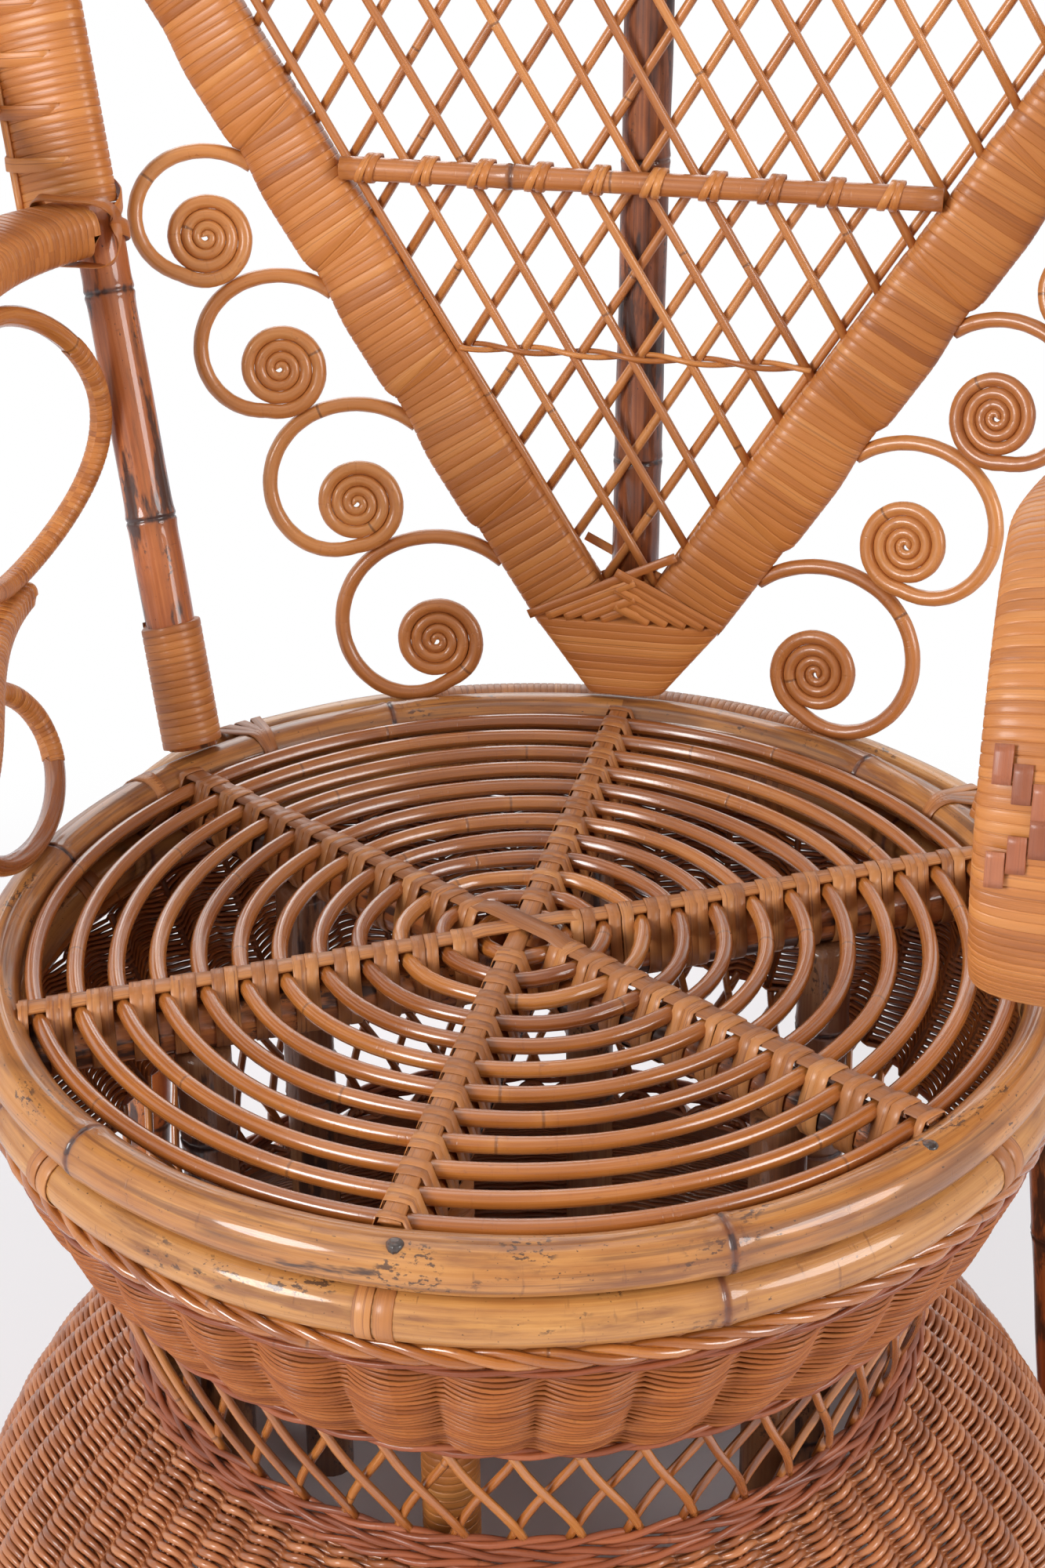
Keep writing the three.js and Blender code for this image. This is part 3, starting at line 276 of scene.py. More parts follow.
# %% Finish of the bamboo poles
def bamboo_finish(name, dark, middle, light, burnt, stain=0.0, joint=0.9):
    lay, tone, mark, feed = new_finish(name, IOR=1.44, Coat_Weight=0.6, Coat_Roughness=0.08)
    streak = lay.noise(0.006, 0.5)
    grain = lay.noise(0.03, 2.5)
    cloud = lay.noise(0.02, 0.07, 4.0)
    bruise = lay.noise(0.016, 0.12, 5.0).eased(0.5, 0.68)
    speck = lay.noise(0.4, 0.6, 2.0).eased(0.68, 0.74)
    scratch = lay.noise(0.3, 0.06, 3.0).eased(0.64, 0.74)
    drip = lay.noise(0.008, 0.3, 5.0).eased(0.5, 0.62)
    patch = lay.noise(0.011, 0.05, 3.0).eased(0.52, 0.66)
    scorch = (lay.noise(0.012, 0.05, 5.0) + burnt + mark * 0.06).eased(0.62, 0.68)
    mould = lay.noise(0.02, 0.05, 2.0).eased(0.6, 0.66) * lay.noise(0.3, 0.5, 3.0).eased(0.53, 0.6)
    seam = mark.eased(0.6, 1.2) * (0.3 + 0.7 * lay.noise(0.02, 0.14, 3.0).eased(0.42, 0.58))
    colour = (streak * 0.55 + cloud * 0.5 + tone * 0.2 - 0.12).ramp((0.3, dark), (0.5, middle), (0.7, light))
    wear = [
        ((0.12, 0.042, 0.015), drip * stain),
        ((0.1, 0.034, 0.013), patch * stain),
        ((0.2, 0.066, 0.024), bruise * 0.7 + grain * 0.12),
        ((0.14, 0.05, 0.02), scratch * 0.4),
        ((0.035, 0.016, 0.012), speck * 0.8),
        ((0.05, 0.022, 0.014), mould * 0.85),
        ((0.2, 0.06, 0.02), mark * 0.8),
        ((0.03, 0.01, 0.009), seam * joint),
        ((0.03, 0.012, 0.01), scorch * 0.9),
    ]
    for brown, share in wear:
        colour = colour.mixed(brown, share)
    rough = 0.36 + cloud * 0.2 + bruise * 0.15
    return feed(colour, rough, grain * 0.6 + streak * 0.5 - scratch * 0.5, 0.0004)


bamboo = bamboo_finish("pale_bamboo", (0.4, 0.155, 0.036), (0.57, 0.26, 0.068), (0.68, 0.35, 0.115),
                       burnt=-0.08, joint=0.4)
stained = bamboo_finish("stained_bamboo", (0.24, 0.072, 0.016), (0.43, 0.163, 0.036), (0.57, 0.25, 0.064),
                        burnt=-0.04, stain=0.55)
scorched = bamboo_finish("scorched_bamboo", (0.36, 0.09, 0.02), (0.51, 0.15, 0.034), (0.63, 0.22, 0.056),
                         burnt=0.088, joint=0.45)
dark_bamboo = bamboo_finish("dark_bamboo", (0.06, 0.018, 0.01), (0.3, 0.085, 0.024), (0.56, 0.2, 0.058), 0.04)
# A darker, greyer copy of the bamboo for the posts: painted shade for the inside of the base.
shaded_post_bamboo = bamboo_finish("shaded_post_bamboo", (0.13, 0.048, 0.02), (0.25, 0.1, 0.04), (0.38, 0.18, 0.08), 0.05)
nail_iron = bamboo_finish("nail_iron", (0.012, 0.011, 0.01), (0.035, 0.03, 0.028), (0.08, 0.068, 0.06), -0.08)
print("bamboo finishes:", bamboo.name, stained.name, scorched.name, dark_bamboo.name, shaded_post_bamboo.name)

# %% [markdown]
# A chair like this has thousands of strands, too many for one object each. `Strands` gathers swept grids
# of points as arrays and makes one mesh of them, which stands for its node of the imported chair.

# %% Gathering strands into one mesh
def in_scene(name, data):
    made = bpy.data.objects.new(name, data)
    bpy.context.scene.collection.objects.link(made)
    return made


class Strands:
    """Swept strands and strips that become one piece of the chair."""

    def __init__(self):
        self.points, self.quads, self.caps, self.lays, self.tones, self.marks = [], [], [], [], [], []
        self.count = 0

    def grid(self, points, lay, tone, mark=0.0, capped=False):
        shape = points.shape[:2]
        index = np.arange(shape[0] * shape[1]).reshape(shape) + self.count
        quads = columns(index[:-1, :-1], index[:-1, 1:], index[1:, 1:], index[1:, :-1])
        self.quads.append(quads.reshape(-1, 4))
        if capped:
            self.caps += [index[0, -2::-1], index[-1, :-1]]
        self.points.append(points.reshape(-1, 3))
        self.lays.append(np.broadcast_to(lay, points.shape).reshape(-1, 3))
        self.tones.append(np.broadcast_to(tone, shape).ravel())
        self.marks.append(np.broadcast_to(mark, shape).ravel())
        self.count += index.size

    def make(self, name, finish, slot, *nodes):
        quads = np.concatenate(self.quads)
        loops = np.concatenate([quads.ravel(), *self.caps])
        sizes = np.array([4] * len(quads) + [len(cap) for cap in self.caps])
        mesh = bpy.data.meshes.new(name)
        mesh.vertices.add(self.count)
        mesh.vertices.foreach_set("co", ((np.concatenate(self.points) + SEAT_AXIS) * MM).ravel())
        mesh.loops.add(len(loops))
        mesh.loops.foreach_set("vertex_index", loops.astype(np.int32))
        mesh.polygons.add(len(sizes))
        mesh.polygons.foreach_set("loop_start", (np.cumsum(sizes) - sizes).astype(np.int32))
        mesh.polygons.foreach_set("use_smooth", np.ones(len(sizes), dtype=bool))
        mesh.update(calc_edges=True)
        for label, kind, field, values in (("lay", "FLOAT_VECTOR", "vector", self.lays),
                                           ("tone", "FLOAT", "value", self.tones),
                                           ("mark", "FLOAT", "value", self.marks)):
            mesh.attributes.new(label, kind, "POINT").data.foreach_set(field, np.concatenate(values).ravel())
        mesh.materials.append(finish)
        made = in_scene(name, mesh)
        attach(made, "root")
        if nodes:
            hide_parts(*nodes)
        print(f"{name}: {len(sizes)} faces")


# %% [markdown]
# A strand is swept by carrying its profile along a line; a round profile gives a tube. The profile needs
# to know which way is up at each step, so each sweep is given a direction that its line never follows. The
# end of a closed loop is a copy of its start, so that the grain runs on without a jump.

# %% Sweeping a tube
def lengths(path):
    steps = np.linalg.norm(np.diff(path, axis=0), axis=1)
    return np.concatenate([[0.0], np.cumsum(steps)])


def frames(path, up, closed=False):
    if closed:
        ahead, behind = np.roll(path, -1, axis=0), np.roll(path, 1, axis=0)
    else:
        ahead, behind = np.vstack([path[1:], path[-1:]]), np.vstack([path[:1], path[:-1]])
    tangent = unit(ahead - behind)
    side = unit(np.cross(np.broadcast_to(up, path.shape), tangent))
    return side, np.cross(tangent, side)


def sweep(strands, path, up, profile, scale=1.0, closed=False, mark=0.0):
    side, over = frames(path, up, closed)
    parts = [path, side, over, *(np.broadcast_to(value, len(path)) for value in (scale, mark))]
    if closed:
        parts = [np.concatenate([part, part[:1]]) for part in parts]
    path, side, over, scale, mark = parts
    ring = profile[:, :1] * side[:, None] + profile[:, 1:] * over[:, None]
    points = path[:, None] + scale[:, None, None] * ring
    along = luck.uniform(0, 3000) + lengths(path)
    lay = columns(along[:, None], scale[:, None] * profile[:, 0], scale[:, None] * profile[:, 1])
    strands.grid(points, lay, luck.uniform(), mark[:, None], capped=not closed)


def tube(strands, path, radius, up, sides=6, closed=False, mark=0.0):
    turn = np.linspace(0, 2 * np.pi, sides + 1)
    sweep(strands, path, up, columns(np.cos(turn), np.sin(turn)), radius, closed, mark)


# %% [markdown]
# Bamboo is a tube with joints: at each one a raised lip with a fine groove in it. The line is sampled
# closely there and coarsely elsewhere, and the points near a joint carry the mark that darkens it.

# %% Sweeping a bamboo pole
def along_line(values, reach, places):
    flat = values.reshape(len(values), -1)
    return columns(*(np.interp(places, reach, column) for column in flat.T))


def pole(strands, path, radius, up, joints, sides=14, closed=False, step=9.0):
    line = np.vstack([path, path[:1]]) if closed else path
    reach = lengths(line)
    lip = np.array([-14, -9, -5, -3, -1.6, -0.7, 0, 0.7, 1.6, 3, 5, 9, 14])
    places = np.concatenate([np.arange(0, reach[-1], step), *[joint + lip for joint in joints]])
    places = np.unique(np.round(places[(places >= 0) & (places < reach[-1] - 0.2)], 2))
    if not closed:
        places = np.append(places, reach[-1])
    gap = np.min(np.abs(places[:, None] - np.asarray(joints)[None, :]), axis=1)
    bump = 0.7 * np.exp(-(gap / 4.0) ** 2) - 0.8 * np.exp(-(gap / 0.8) ** 2)
    wander = 0.18 * np.sin(places / 37.0) + 0.15 * np.sin(places / 13.7 + 1.0)
    mark = np.exp(-(gap / 1.5) ** 2) + 0.45 * np.exp(-(gap / 10.0) ** 2)
    tube(strands, along_line(line, reach, places), radius + bump + wander, up, sides, closed, mark)


# %% [markdown]
# Winding is a strip led round a bar in a close spiral. Its surface is one long grid: six rows for each
# turn, low at the strip's edges and high in the middle, with every row climbing by one turn's width on
# its way round. That gives the true slant, and the groove between turns, with very few points.

# %% Winding a strip round a bar
TURN_SHARE = np.array([0.0, 0.05, 0.14, 0.5, 0.86, 0.95])
TURN_HEIGHT = np.array([0.0, 0.75, 0.93, 1.0, 0.93, 0.75])


def wound(strands, path, up, half_width, half_depth, turn_width, lift=0.7, squareness=2.0, sides=20):
    reach = lengths(path)
    side, over = frames(path, up)
    half_width, half_depth = (np.broadcast_to(half, len(path)) for half in (half_width, half_depth))
    turns = max(2, int(round(reach[-1] / turn_width)))
    width = reach[-1] / turns
    rows = ((np.arange(turns - 1)[:, None] + TURN_SHARE) * width).ravel()
    raised = lift * np.tile(TURN_HEIGHT, turns - 1)[:, None]
    places = rows[:, None] + np.linspace(0, width, sides + 1)
    theta = np.broadcast_to(np.linspace(0, 2 * np.pi, sides + 1), places.shape)

    def at(values):
        return along_line(values, reach, places.ravel()).reshape(*places.shape, -1)

    def offset(direction, half, swing):
        squared = np.sign(swing) * np.abs(swing) ** (2 / squareness)
        return at(direction) * ((at(half)[..., 0] + raised) * squared)[..., None]

    points = at(path) + offset(side, half_width, np.cos(theta)) + offset(over, half_depth, np.sin(theta))
    girth = np.pi * (half_width.mean() + half_depth.mean())
    turn = np.repeat(np.arange(turns - 1), len(TURN_SHARE))[:, None]
    along = (turn + theta / (2 * np.pi)) * girth + luck.uniform(0, 3000)
    across = (np.tile(TURN_SHARE, turns - 1)[:, None] - 0.5) * width + 3.7 * turn
    lay = columns(along, across, 0.0)
    tone = np.clip(luck.normal(0.5, 0.22, turns - 1), 0, 1)
    strands.grid(points, lay, np.repeat(tone, len(TURN_SHARE))[:, None], capped=True)


# %% [markdown]
# A strap is a flat strip that follows its own line, such as a tie round a pole: a thin, slightly crowned
# profile, laid by the direction that points out of it.

# %% Laying a strap
def strap(strands, path, out, width, thickness, closed=False, crown=1.08):
    section = np.array([[-0.5, 0], [0.5, 0], [0.44, 1], [0, crown], [-0.44, 1], [-0.5, 0]])
    sweep(strands, path, out, section * [width, thickness], closed=closed)


# %% [markdown]
# ## The seat
# Two bamboo poles are bent into rings, one on top of the other. Behind the sitter a third pole swings out
# of the lower one and up beside the upper one, to make a ledge that the back stands on.

# %% Seat rims
RIM_RADIUS, RIM_Z, RIM_PAIRING, RIM_POLE = 238.5, -9.0, 24.6, 11.8
LOWER_RIM_Z = RIM_Z - RIM_PAIRING
full_turn = np.arange(-180.0, 180.0, 1.5)


def ledge(azimuth):
    from_front = np.minimum(np.abs(azimuth), 360 - np.abs(azimuth))
    below = np.radians(90 - 75 * eased(from_front, 95, 130))
    return RIM_RADIUS + RIM_PAIRING * np.cos(below), RIM_Z - RIM_PAIRING * np.sin(below)


def bent_pole(strands, radius, z, thick, joint_azimuths, sides=18):
    joints = [(azimuth + 180) / 360 * 2 * np.pi * radius for azimuth in joint_azimuths]
    pole(strands, at_azimuth(full_turn, radius, z), thick, UP, joints, sides, closed=True)


upper = Strands()
bent_pole(upper, RIM_RADIUS, RIM_Z, RIM_POLE, [-150, -96, -34.7, 31.9, 88, 146])
upper.make("seat_rim_upper_bamboo", stained, "bamboo", "seat_rim_upper")
lower = Strands()
bent_pole(lower, RIM_RADIUS, LOWER_RIM_Z, RIM_POLE, [-165, -112, -52, 31.4, 88, 140])
rear_turn = np.arange(96.0, 264.1, 1.5)
pole(lower, at_azimuth(rear_turn, *ledge(rear_turn)), 11.3, UP, [70.0, 300.0, 620.0], sides=18)
lower.make("seat_rim_lower_bamboo", bamboo, "bamboo", "seat_rim_lower")

# %% [markdown]
# Pairs of flat turns go round the lower ring, and beside the side poles broader ties hold the upper ring
# to the ledge and spread like a fan. Behind the back's foot the lower poles are wound closely. Small dark
# nails hold the strips' ends and stand a little proud of the bamboo.

# %% Ties round the rims
TIE_RADIUS, FANNED_TIE_RADIUS, TIE_THICKNESS = 12.0, 12.1, 0.6


def round_lower(azimuth):
    turn = full_circle(28)[:, None]
    normal = at_azimuth(azimuth + 90, 1.0, 0.0)
    side = unit(np.cross(UP, normal))
    out = np.cos(turn) * side + np.sin(turn) * np.cross(normal, side)
    return at_azimuth(azimuth, RIM_RADIUS, LOWER_RIM_Z) + out * TIE_RADIUS, out


def round_both(azimuth, fan):
    upper_at = np.array([RIM_RADIUS, RIM_Z])
    ledge_at = np.array(ledge(azimuth))
    axis = unit(ledge_at - upper_at)
    turn = full_circle(40)[:, None]
    out = np.cos(turn) * axis + np.sin(turn) * np.array([-axis[1], axis[0]])
    line = np.where(np.cos(turn) > 0, ledge_at, upper_at) + FANNED_TIE_RADIUS * out
    place = azimuth + fan * ((line - upper_at) @ axis / RIM_PAIRING - 0.5)
    return at_azimuth(place, line[:, 0], line[:, 1]), at_azimuth(place, out[:, 0], out[:, 1])


ties = Strands()
for azimuth in (-0.6, 67.5, -41, -72, -100, 100):
    for beside in (-1.0, 1.0):
        strap(ties, *round_lower(azimuth + beside), 8.0, TIE_THICKNESS, closed=True)
for azimuth in (-132.5, -115.0, 115.0, 132.5):
    for k in (-1.5, -0.5, 0.5, 1.5):
        strap(ties, *round_both(azimuth + 1.25 * k, 1.1 * k), 5.6, TIE_THICKNESS, closed=True)
back_arc = np.arange(156.0, 205.0, 0.75)
wound(ties, at_azimuth(back_arc, *ledge(back_arc)), UP, 11.6, 11.6, 3.6, 0.5, sides=16)
wound(ties, at_azimuth(back_arc, RIM_RADIUS, LOWER_RIM_Z), UP, TIE_RADIUS, TIE_RADIUS, 3.6, 0.5, sides=16)
ties.make("rim_ties", aged_strip, "wrap")

nails = Strands()
nail_axis = np.array([[0, 0, -3.0], [0, 0, 0.6], [0, 0, 1.3], [0, 0, 1.6]])
for azimuth, radius in ((1.4, 243.0), (55.7, 240.0), (-58.0, 241.0)):
    tube(nails, at_azimuth(azimuth, radius, 1.5) + nail_axis, [3.6, 3.6, 2.9, 1.2], ACROSS, 12)
nails.make("rim_nails", nail_iron, "dark_bamboo")

# %% [markdown]
# Twelve canes of falling size lie in the rim like the rings of a tree. A bent cane is never a perfect
# circle, so each one wanders by a fraction of a millimetre.

# %% Seat canes
RING_Z, OUTER_RING, RING_STEP, RING_COUNT = -4.0, 221.0, 18.4, 12
for i in range(RING_COUNT):
    ring = Strands()
    radius = OUTER_RING - RING_STEP * i
    azimuth = azimuths(max(36, int(radius * 0.75)))
    wobble = 0.5 * wave(azimuth * 3 + i * 40) + 0.3 * wave(azimuth * 7 + i * 77)
    drop = 0.35 * wave(azimuth * 6 + i * 20)
    thick = 3.85 + 0.15 * wave(azimuth * 5 + i * 31)
    tube(ring, at_azimuth(azimuth, radius + wobble, RING_Z + drop), thick, UP, 10, closed=True)
    ring.make(f"seat_cane_{i + 1:02d}_bent", cane, "cane", f"seat_cane_{i + 1:02d}")

# %% [markdown]
# Six spokes carry the canes. Each is a pole with a flat strip above the canes, and between one cane and
# the next two turns of strip go over the flat strip and round under the pole, which clamps the canes.

# %% Seat spokes
SPOKE_Z, SPOKE_RADIUS, SPOKE_END, CLAMP_RADIUS = -20.3, 11.8, 226.0, 12.3
CORNERS = {"front_right": 60, "back_right": 120, "back_left": -120, "front_left": -60}
clamp_right = [[0, 2.5], [3, 2.4], [5.5, 1.9], [7.4, -3.0], [10.2, -10.5], [12.0, -16.5], [12.4, -21.0]]
clamp_arc = np.radians(np.arange(-20, -90, -20.0))
clamp_low = columns(CLAMP_RADIUS * np.cos(clamp_arc), SPOKE_Z + CLAMP_RADIUS * np.sin(clamp_arc))
clamp_half = np.vstack([clamp_right, clamp_low, [[0, SPOKE_Z - CLAMP_RADIUS]]])
clamp = np.vstack([clamp_half, clamp_half[-2:0:-1] * [-1, 1]])


def clamp_turn(strands, azimuth, reach, width):
    along = at_azimuth(azimuth, 1.0, 0.0)
    beside = at_azimuth(azimuth + 90, 1.0, 0.0)
    slant = 1.6 * np.sin(full_circle(len(clamp))) + luck.normal(0, 0.25)
    path = along * (reach + slant)[:, None] + beside * clamp[:, :1] + UP * clamp[:, 1:]
    out = unit(beside * clamp[:, :1] + UP * (clamp[:, 1:] + 12))
    strap(strands, path, out, width, 0.45, closed=True, crown=1.04)


def spoke(node, *arms):
    core, turns = Strands(), Strands()
    for azimuth, inner in arms:
        ends = at_azimuth(np.full(2, azimuth), np.array([inner, SPOKE_END]), SPOKE_Z)
        pole(core, ends, SPOKE_RADIUS, UP, [60.0, 150.0], sides=12, step=20)
        for i in range(RING_COUNT - 1):
            middle = OUTER_RING - RING_STEP * (i + 0.5)
            for k in (-1, 1):
                clamp_turn(turns, azimuth, middle + 2.8 * k, 5.9)
        clamp_turn(turns, azimuth, OUTER_RING + 6.2, 4.4)
    core.make(f"{node}_pole", scorched, "wrap", node)
    turns.make(f"{node}_clamps", aged_strip, "wrap")


spoke("spoke_front_back", (0, 0.0), (180, 0.4))
for corner, azimuth in CORNERS.items():
    spoke(f"spoke_{corner}", (azimuth, 21.6))

# %% [markdown]
# Three flat strips run right across the seat and cross at its middle, one over the other. They rise a
# little over each cane and sink between them under the clamps.

# %% Seat strips
STRIP_THICKNESS, STRIP_LAYER = 1.5, 1.65
r = np.arange(-229.5, 229.6, 3.06)
over_cane = 0.35 * np.cos(2 * np.pi * (np.abs(r) - OUTER_RING) / RING_STEP) * (np.abs(r) > 17)
for layer, (run, azimuth) in enumerate((("front_back", 0.0), ("left_right", -60.0), ("corner", 60.0))):
    flat = Strands()
    raised = 0.55 + over_cane + layer * STRIP_LAYER * (1 - eased(np.abs(r), 13, 36))
    strap(flat, at_azimuth(azimuth, r, raised), UP, 10.0, STRIP_THICKNESS)
    flat.make(f"seat_strip_{run}_peeled", aged_strip, "wrap", f"seat_strip_{run}")

# %% [markdown]
# ## The base
# Under the rim hangs a bowl of fine strands that bulges in lobes between its stakes. Every row goes out
# and in at the same places, which draws the creases down the bowl. A lobe is the absolute value of a
# cosine wave, and its creases drift a little sideways on the way down. A second strand of each row lies
# inside and closes the gap under it, but for a slit in the middle of each lobe.

# %% Bowl
BOWL_LOBES, BOWL_ROWS, BOWL_DRIFT, LOBE_DEPTH = 36, 24, 28, 9.5
BOWL_TOP, BOWL_DROP, BOWL_TAPER, BOWL_BULGE = -56.5, 72.0, 33.0, 5.0


def bowl_radius(share):
    return RIM_RADIUS - BOWL_TAPER * share + BOWL_BULGE * np.sin(np.pi * share)


bowl = Strands()
around = azimuths(BOWL_LOBES * 10)
for row in range(BOWL_ROWS):
    share = (row + 0.5) / BOWL_ROWS
    radius = bowl_radius(share)
    lobe = np.abs(np.cos(np.radians(around * BOWL_LOBES / 2 + BOWL_DRIFT * share)))
    swell = (1 - 0.4 * share) * LOBE_DEPTH * (lobe - 0.62) * np.minimum(1, 0.4 + 3 * share)
    z = BOWL_TOP - BOWL_DROP * share + 0.5 * wave(around * BOWL_LOBES + row * 50)
    tube(bowl, at_azimuth(around, radius + swell, z), 0.95 + 0.34 * lobe ** 0.35, UP, 6, closed=True)
    slit = eased(lobe, 0.77, 0.92)
    inner = at_azimuth(around, radius - 0.7 + 1.15 * swell - 2.2, z - 1.5 + 1.5 * slit)
    tube(bowl, inner, 1.5 - 0.6 * slit, UP, 5, closed=True)
for k in range(BOWL_LOBES):
    share = np.linspace(0, 1, 9)
    azimuth = ((k + 0.5) * 360 - BOWL_DRIFT * share * 2) / BOWL_LOBES
    stake = at_azimuth(azimuth, bowl_radius(share) - 5.6, -54 - 74 * share)
    tube(bowl, stake, 1.9, at_azimuth(k * 360 / BOWL_LOBES, 1, 0.2), 6)
bowl.make("bowl_strands", weaver, "weave", "bowl_weave")

# %% [markdown]
# Twisted borders finish each edge. Two strands that circle one another make a rope: their offset from the
# middle line is a turning arrow, and each strand starts where the other is half a turn away. Ropes laid
# side by side with opposite twists look like a plait.

# %% Borders
def twisted(strands, radius, z, strand, offset, twists, count=2):
    azimuth = azimuths(max(abs(twists) * 10, 220))
    for k in range(count):
        phase = np.radians(azimuth * twists + 360 * k / count)
        path = at_azimuth(azimuth, radius + offset * np.cos(phase), z + offset * np.sin(phase))
        tube(strands, path, strand, UP, 8, closed=True)


top_border = Strands()
twisted(top_border, 242.6, -50.6, 2.3, 2.5, -24, count=3)
tube(top_border, at_azimuth(full_turn, 237.0, -49.4), 3.9, UP, 8, closed=True)
top_border.make("bowl_top_rope", cane, "cane", "bowl_top_braid")
thin_border = Strands()
twisted(thin_border, 242.2, -57.4, 1.35, 1.3, 20)
thin_border.make("bowl_top_twine", reddish, "dyed_cane")
foot_border = Strands()
twisted(foot_border, 205.5, -129.8, 1.6, 1.45, 24)
foot_border.make("bowl_foot_twist", reddish, "dyed_cane", "bowl_foot_braid")
skirt_border = Strands()
twisted(skirt_border, 185.5, -196.6, 1.75, 1.6, 20)
twisted(skirt_border, 187.8, -201.6, 1.75, 1.6, -22)
twisted(skirt_border, 190.2, -206.6, 1.65, 1.5, 24)
skirt_border.make("skirt_top_plait", reddish, "dyed_cane", "skirt_top_braid")

# %% [markdown]
# The waist is open: pairs of canes lean both ways and cross like the legs of a folding stool. One family
# stays outside the other, so the two never cut through each other.

# %% Waist
WAIST_PAIRS, WAIST_LEAN, WAIST_CANE, WAIST_LAYER = 46, 1.3, 2.15, 2.3
WAIST_FOOT_RADIUS, WAIST_SPREAD, WAIST_FOOT, WAIST_RISE = 183.5, 20, -198, 70
waist = Strands()
rise = np.linspace(0, 1, 9)
bend = rise - 0.035 * np.sin(2 * np.pi * rise)
for k in range(WAIST_PAIRS):
    for lean in (-1, 1):
        azimuth = (k + lean * WAIST_LEAN * (bend - 0.5)) * 360 / WAIST_PAIRS
        radius = WAIST_FOOT_RADIUS + WAIST_SPREAD * rise - lean * WAIST_LAYER * np.sin(np.pi * rise)
        path = at_azimuth(azimuth, radius, WAIST_FOOT + WAIST_RISE * rise)
        tube(waist, path, WAIST_CANE, at_azimuth(azimuth, 1, 0), 7)
# The waist takes the darker varnished cane, not the honey cane: painted shade under the bowl.
waist.make("waist_canes", cane, "cane", "waist_lattice")

# %% [markdown]
# The skirt is woven on pairs of stakes. Every row swells over each pair and dips between them, which draws
# ribs from the waist to the floor and leaves a small hole between two rows in each dip. A second strand
# runs behind the stakes. The swell is measured along the slope's own normal, so that it is alike at the
# steep foot and the flat top. The skirt holds most of the chair's strands, so it becomes three meshes: the
# upper rows, the lower rows, and the stakes with what lies behind the rows.

# %% Skirt
SKIRT_STAKES, SKIRT_ROWS, SKIRT_TOP, SKIRT_DROP = 60, 50, -209.0, 189.0
SKIRT_TOP_RADIUS, SKIRT_SPREAD, SKIRT_BULGE, RIB_DEPTH = 185.0, 99.0, 29.0, 6.4


def skirt_radius(share):
    return SKIRT_TOP_RADIUS + SKIRT_SPREAD * share + SKIRT_BULGE * np.sin(np.pi * share)


def on_skirt(azimuth, share, raised):
    tilt = np.arctan2(SKIRT_SPREAD + SKIRT_BULGE * np.pi * np.cos(np.pi * share), SKIRT_DROP)
    height = SKIRT_TOP - SKIRT_DROP * share + raised * np.sin(tilt)
    return at_azimuth(azimuth, skirt_radius(share) + raised * np.cos(tilt), height)


fine = np.linspace(0, 1, 400)
skirt_reach = lengths(columns(skirt_radius(fine), -SKIRT_DROP * fine))


def down_skirt(rows):
    return np.interp(rows / SKIRT_ROWS * skirt_reach[-1], skirt_reach, fine)


upper_rows, lower_rows, skirt_inside = Strands(), Strands(), Strands()
around = azimuths(SKIRT_STAKES * 8)
swell = np.abs(np.cos(np.radians(around * SKIRT_STAKES / 2)))
for row in range(SKIRT_ROWS):
    uneven = 0.0012 * wave(around * 5 + row * 61) - 0.003 * wave(around * SKIRT_STAKES)
    path = on_skirt(around, down_skirt(row + 0.5) + uneven, RIB_DEPTH * (swell - 0.6))
    tube(upper_rows if row < SKIRT_ROWS / 2 else lower_rows, path, 1.35 + 0.65 * swell, UP, 7, closed=True)
    behind = on_skirt(around[::2], down_skirt(row + 1.0), -4.6 + 1.2 * swell[::2])
    tube(skirt_inside, behind, 1.75, UP, 6, closed=True)
share = np.linspace(0, 1, 14)
for azimuth in np.arange(SKIRT_STAKES) * 360 / SKIRT_STAKES:
    for beside in (-1.5, 1.5):
        turned = azimuth + np.degrees(beside / skirt_radius(share))
        tube(skirt_inside, on_skirt(turned, share, 0.0), 1.25, at_azimuth(azimuth + 90, 1, 0), 6)
twisted(skirt_inside, 283.5, -396.4, 1.75, 1.7, 70)
upper_rows.make("skirt_rows_upper", skirt_cane, "weave", "skirt_weave")
lower_rows.make("skirt_rows_lower", skirt_cane, "weave", "skirt_weave")
skirt_inside.make("skirt_stakes_and_lining", skirt_cane, "weave", "skirt_weave")

# %% [markdown]
# Inside the base stand six posts, the front one wound with strip, on a bamboo hoop that spreads the
# skirt's foot. Two rear legs outside it carry the back of the rim.

# %% Posts, legs and hoop
FLOOR_Z, POST_RING, HOOP_RADIUS = -400.0, 150.0, 266.5
for corner, azimuth in {"front": 0, "back": 180, **CORNERS}.items():
    post = Strands()
    if corner == "front":
        line = at_azimuth(np.full(40, azimuth), POST_RING, np.linspace(FLOOR_Z, -33, 40))
        wound(post, line, FORWARD, 12.4, 12.4, 4.6)
        post.make("post_front_wound", strip, "wrap", "post_front")
    else:
        line = at_azimuth(np.full(2, azimuth), POST_RING, np.array([FLOOR_Z, -33.5]))
        pole(post, line, 12.6, FORWARD, [70.0, 190.0 + 6 * len(corner), 320.0], sides=16, step=20)
        # The posts' darker bamboo is painted shade for the inside of the base.
        post.make(f"post_{corner}_bamboo", shaded_post_bamboo, "wrap", f"post_{corner}")
for side, azimuth in (("left", -120.0), ("right", 120.0)):
    leg = Strands()
    ends = at_azimuth(azimuth, np.array([305.4, 264.1]), np.array([-398.1, -36.0]))
    pole(leg, ends, 12.5, FORWARD, [38.0, 165.0, 300.0], sides=16, step=20)
    leg.make(f"rear_leg_{side}_bamboo", scorched, "bamboo", f"rear_leg_{side}")
hoop = Strands()
bent_pole(hoop, HOOP_RADIUS, -389.4, 9.6, [-140, -80, -10, 50, 120], sides=14)
hoop.make("base_hoop_bamboo", bamboo, "bamboo", "base_hoop")

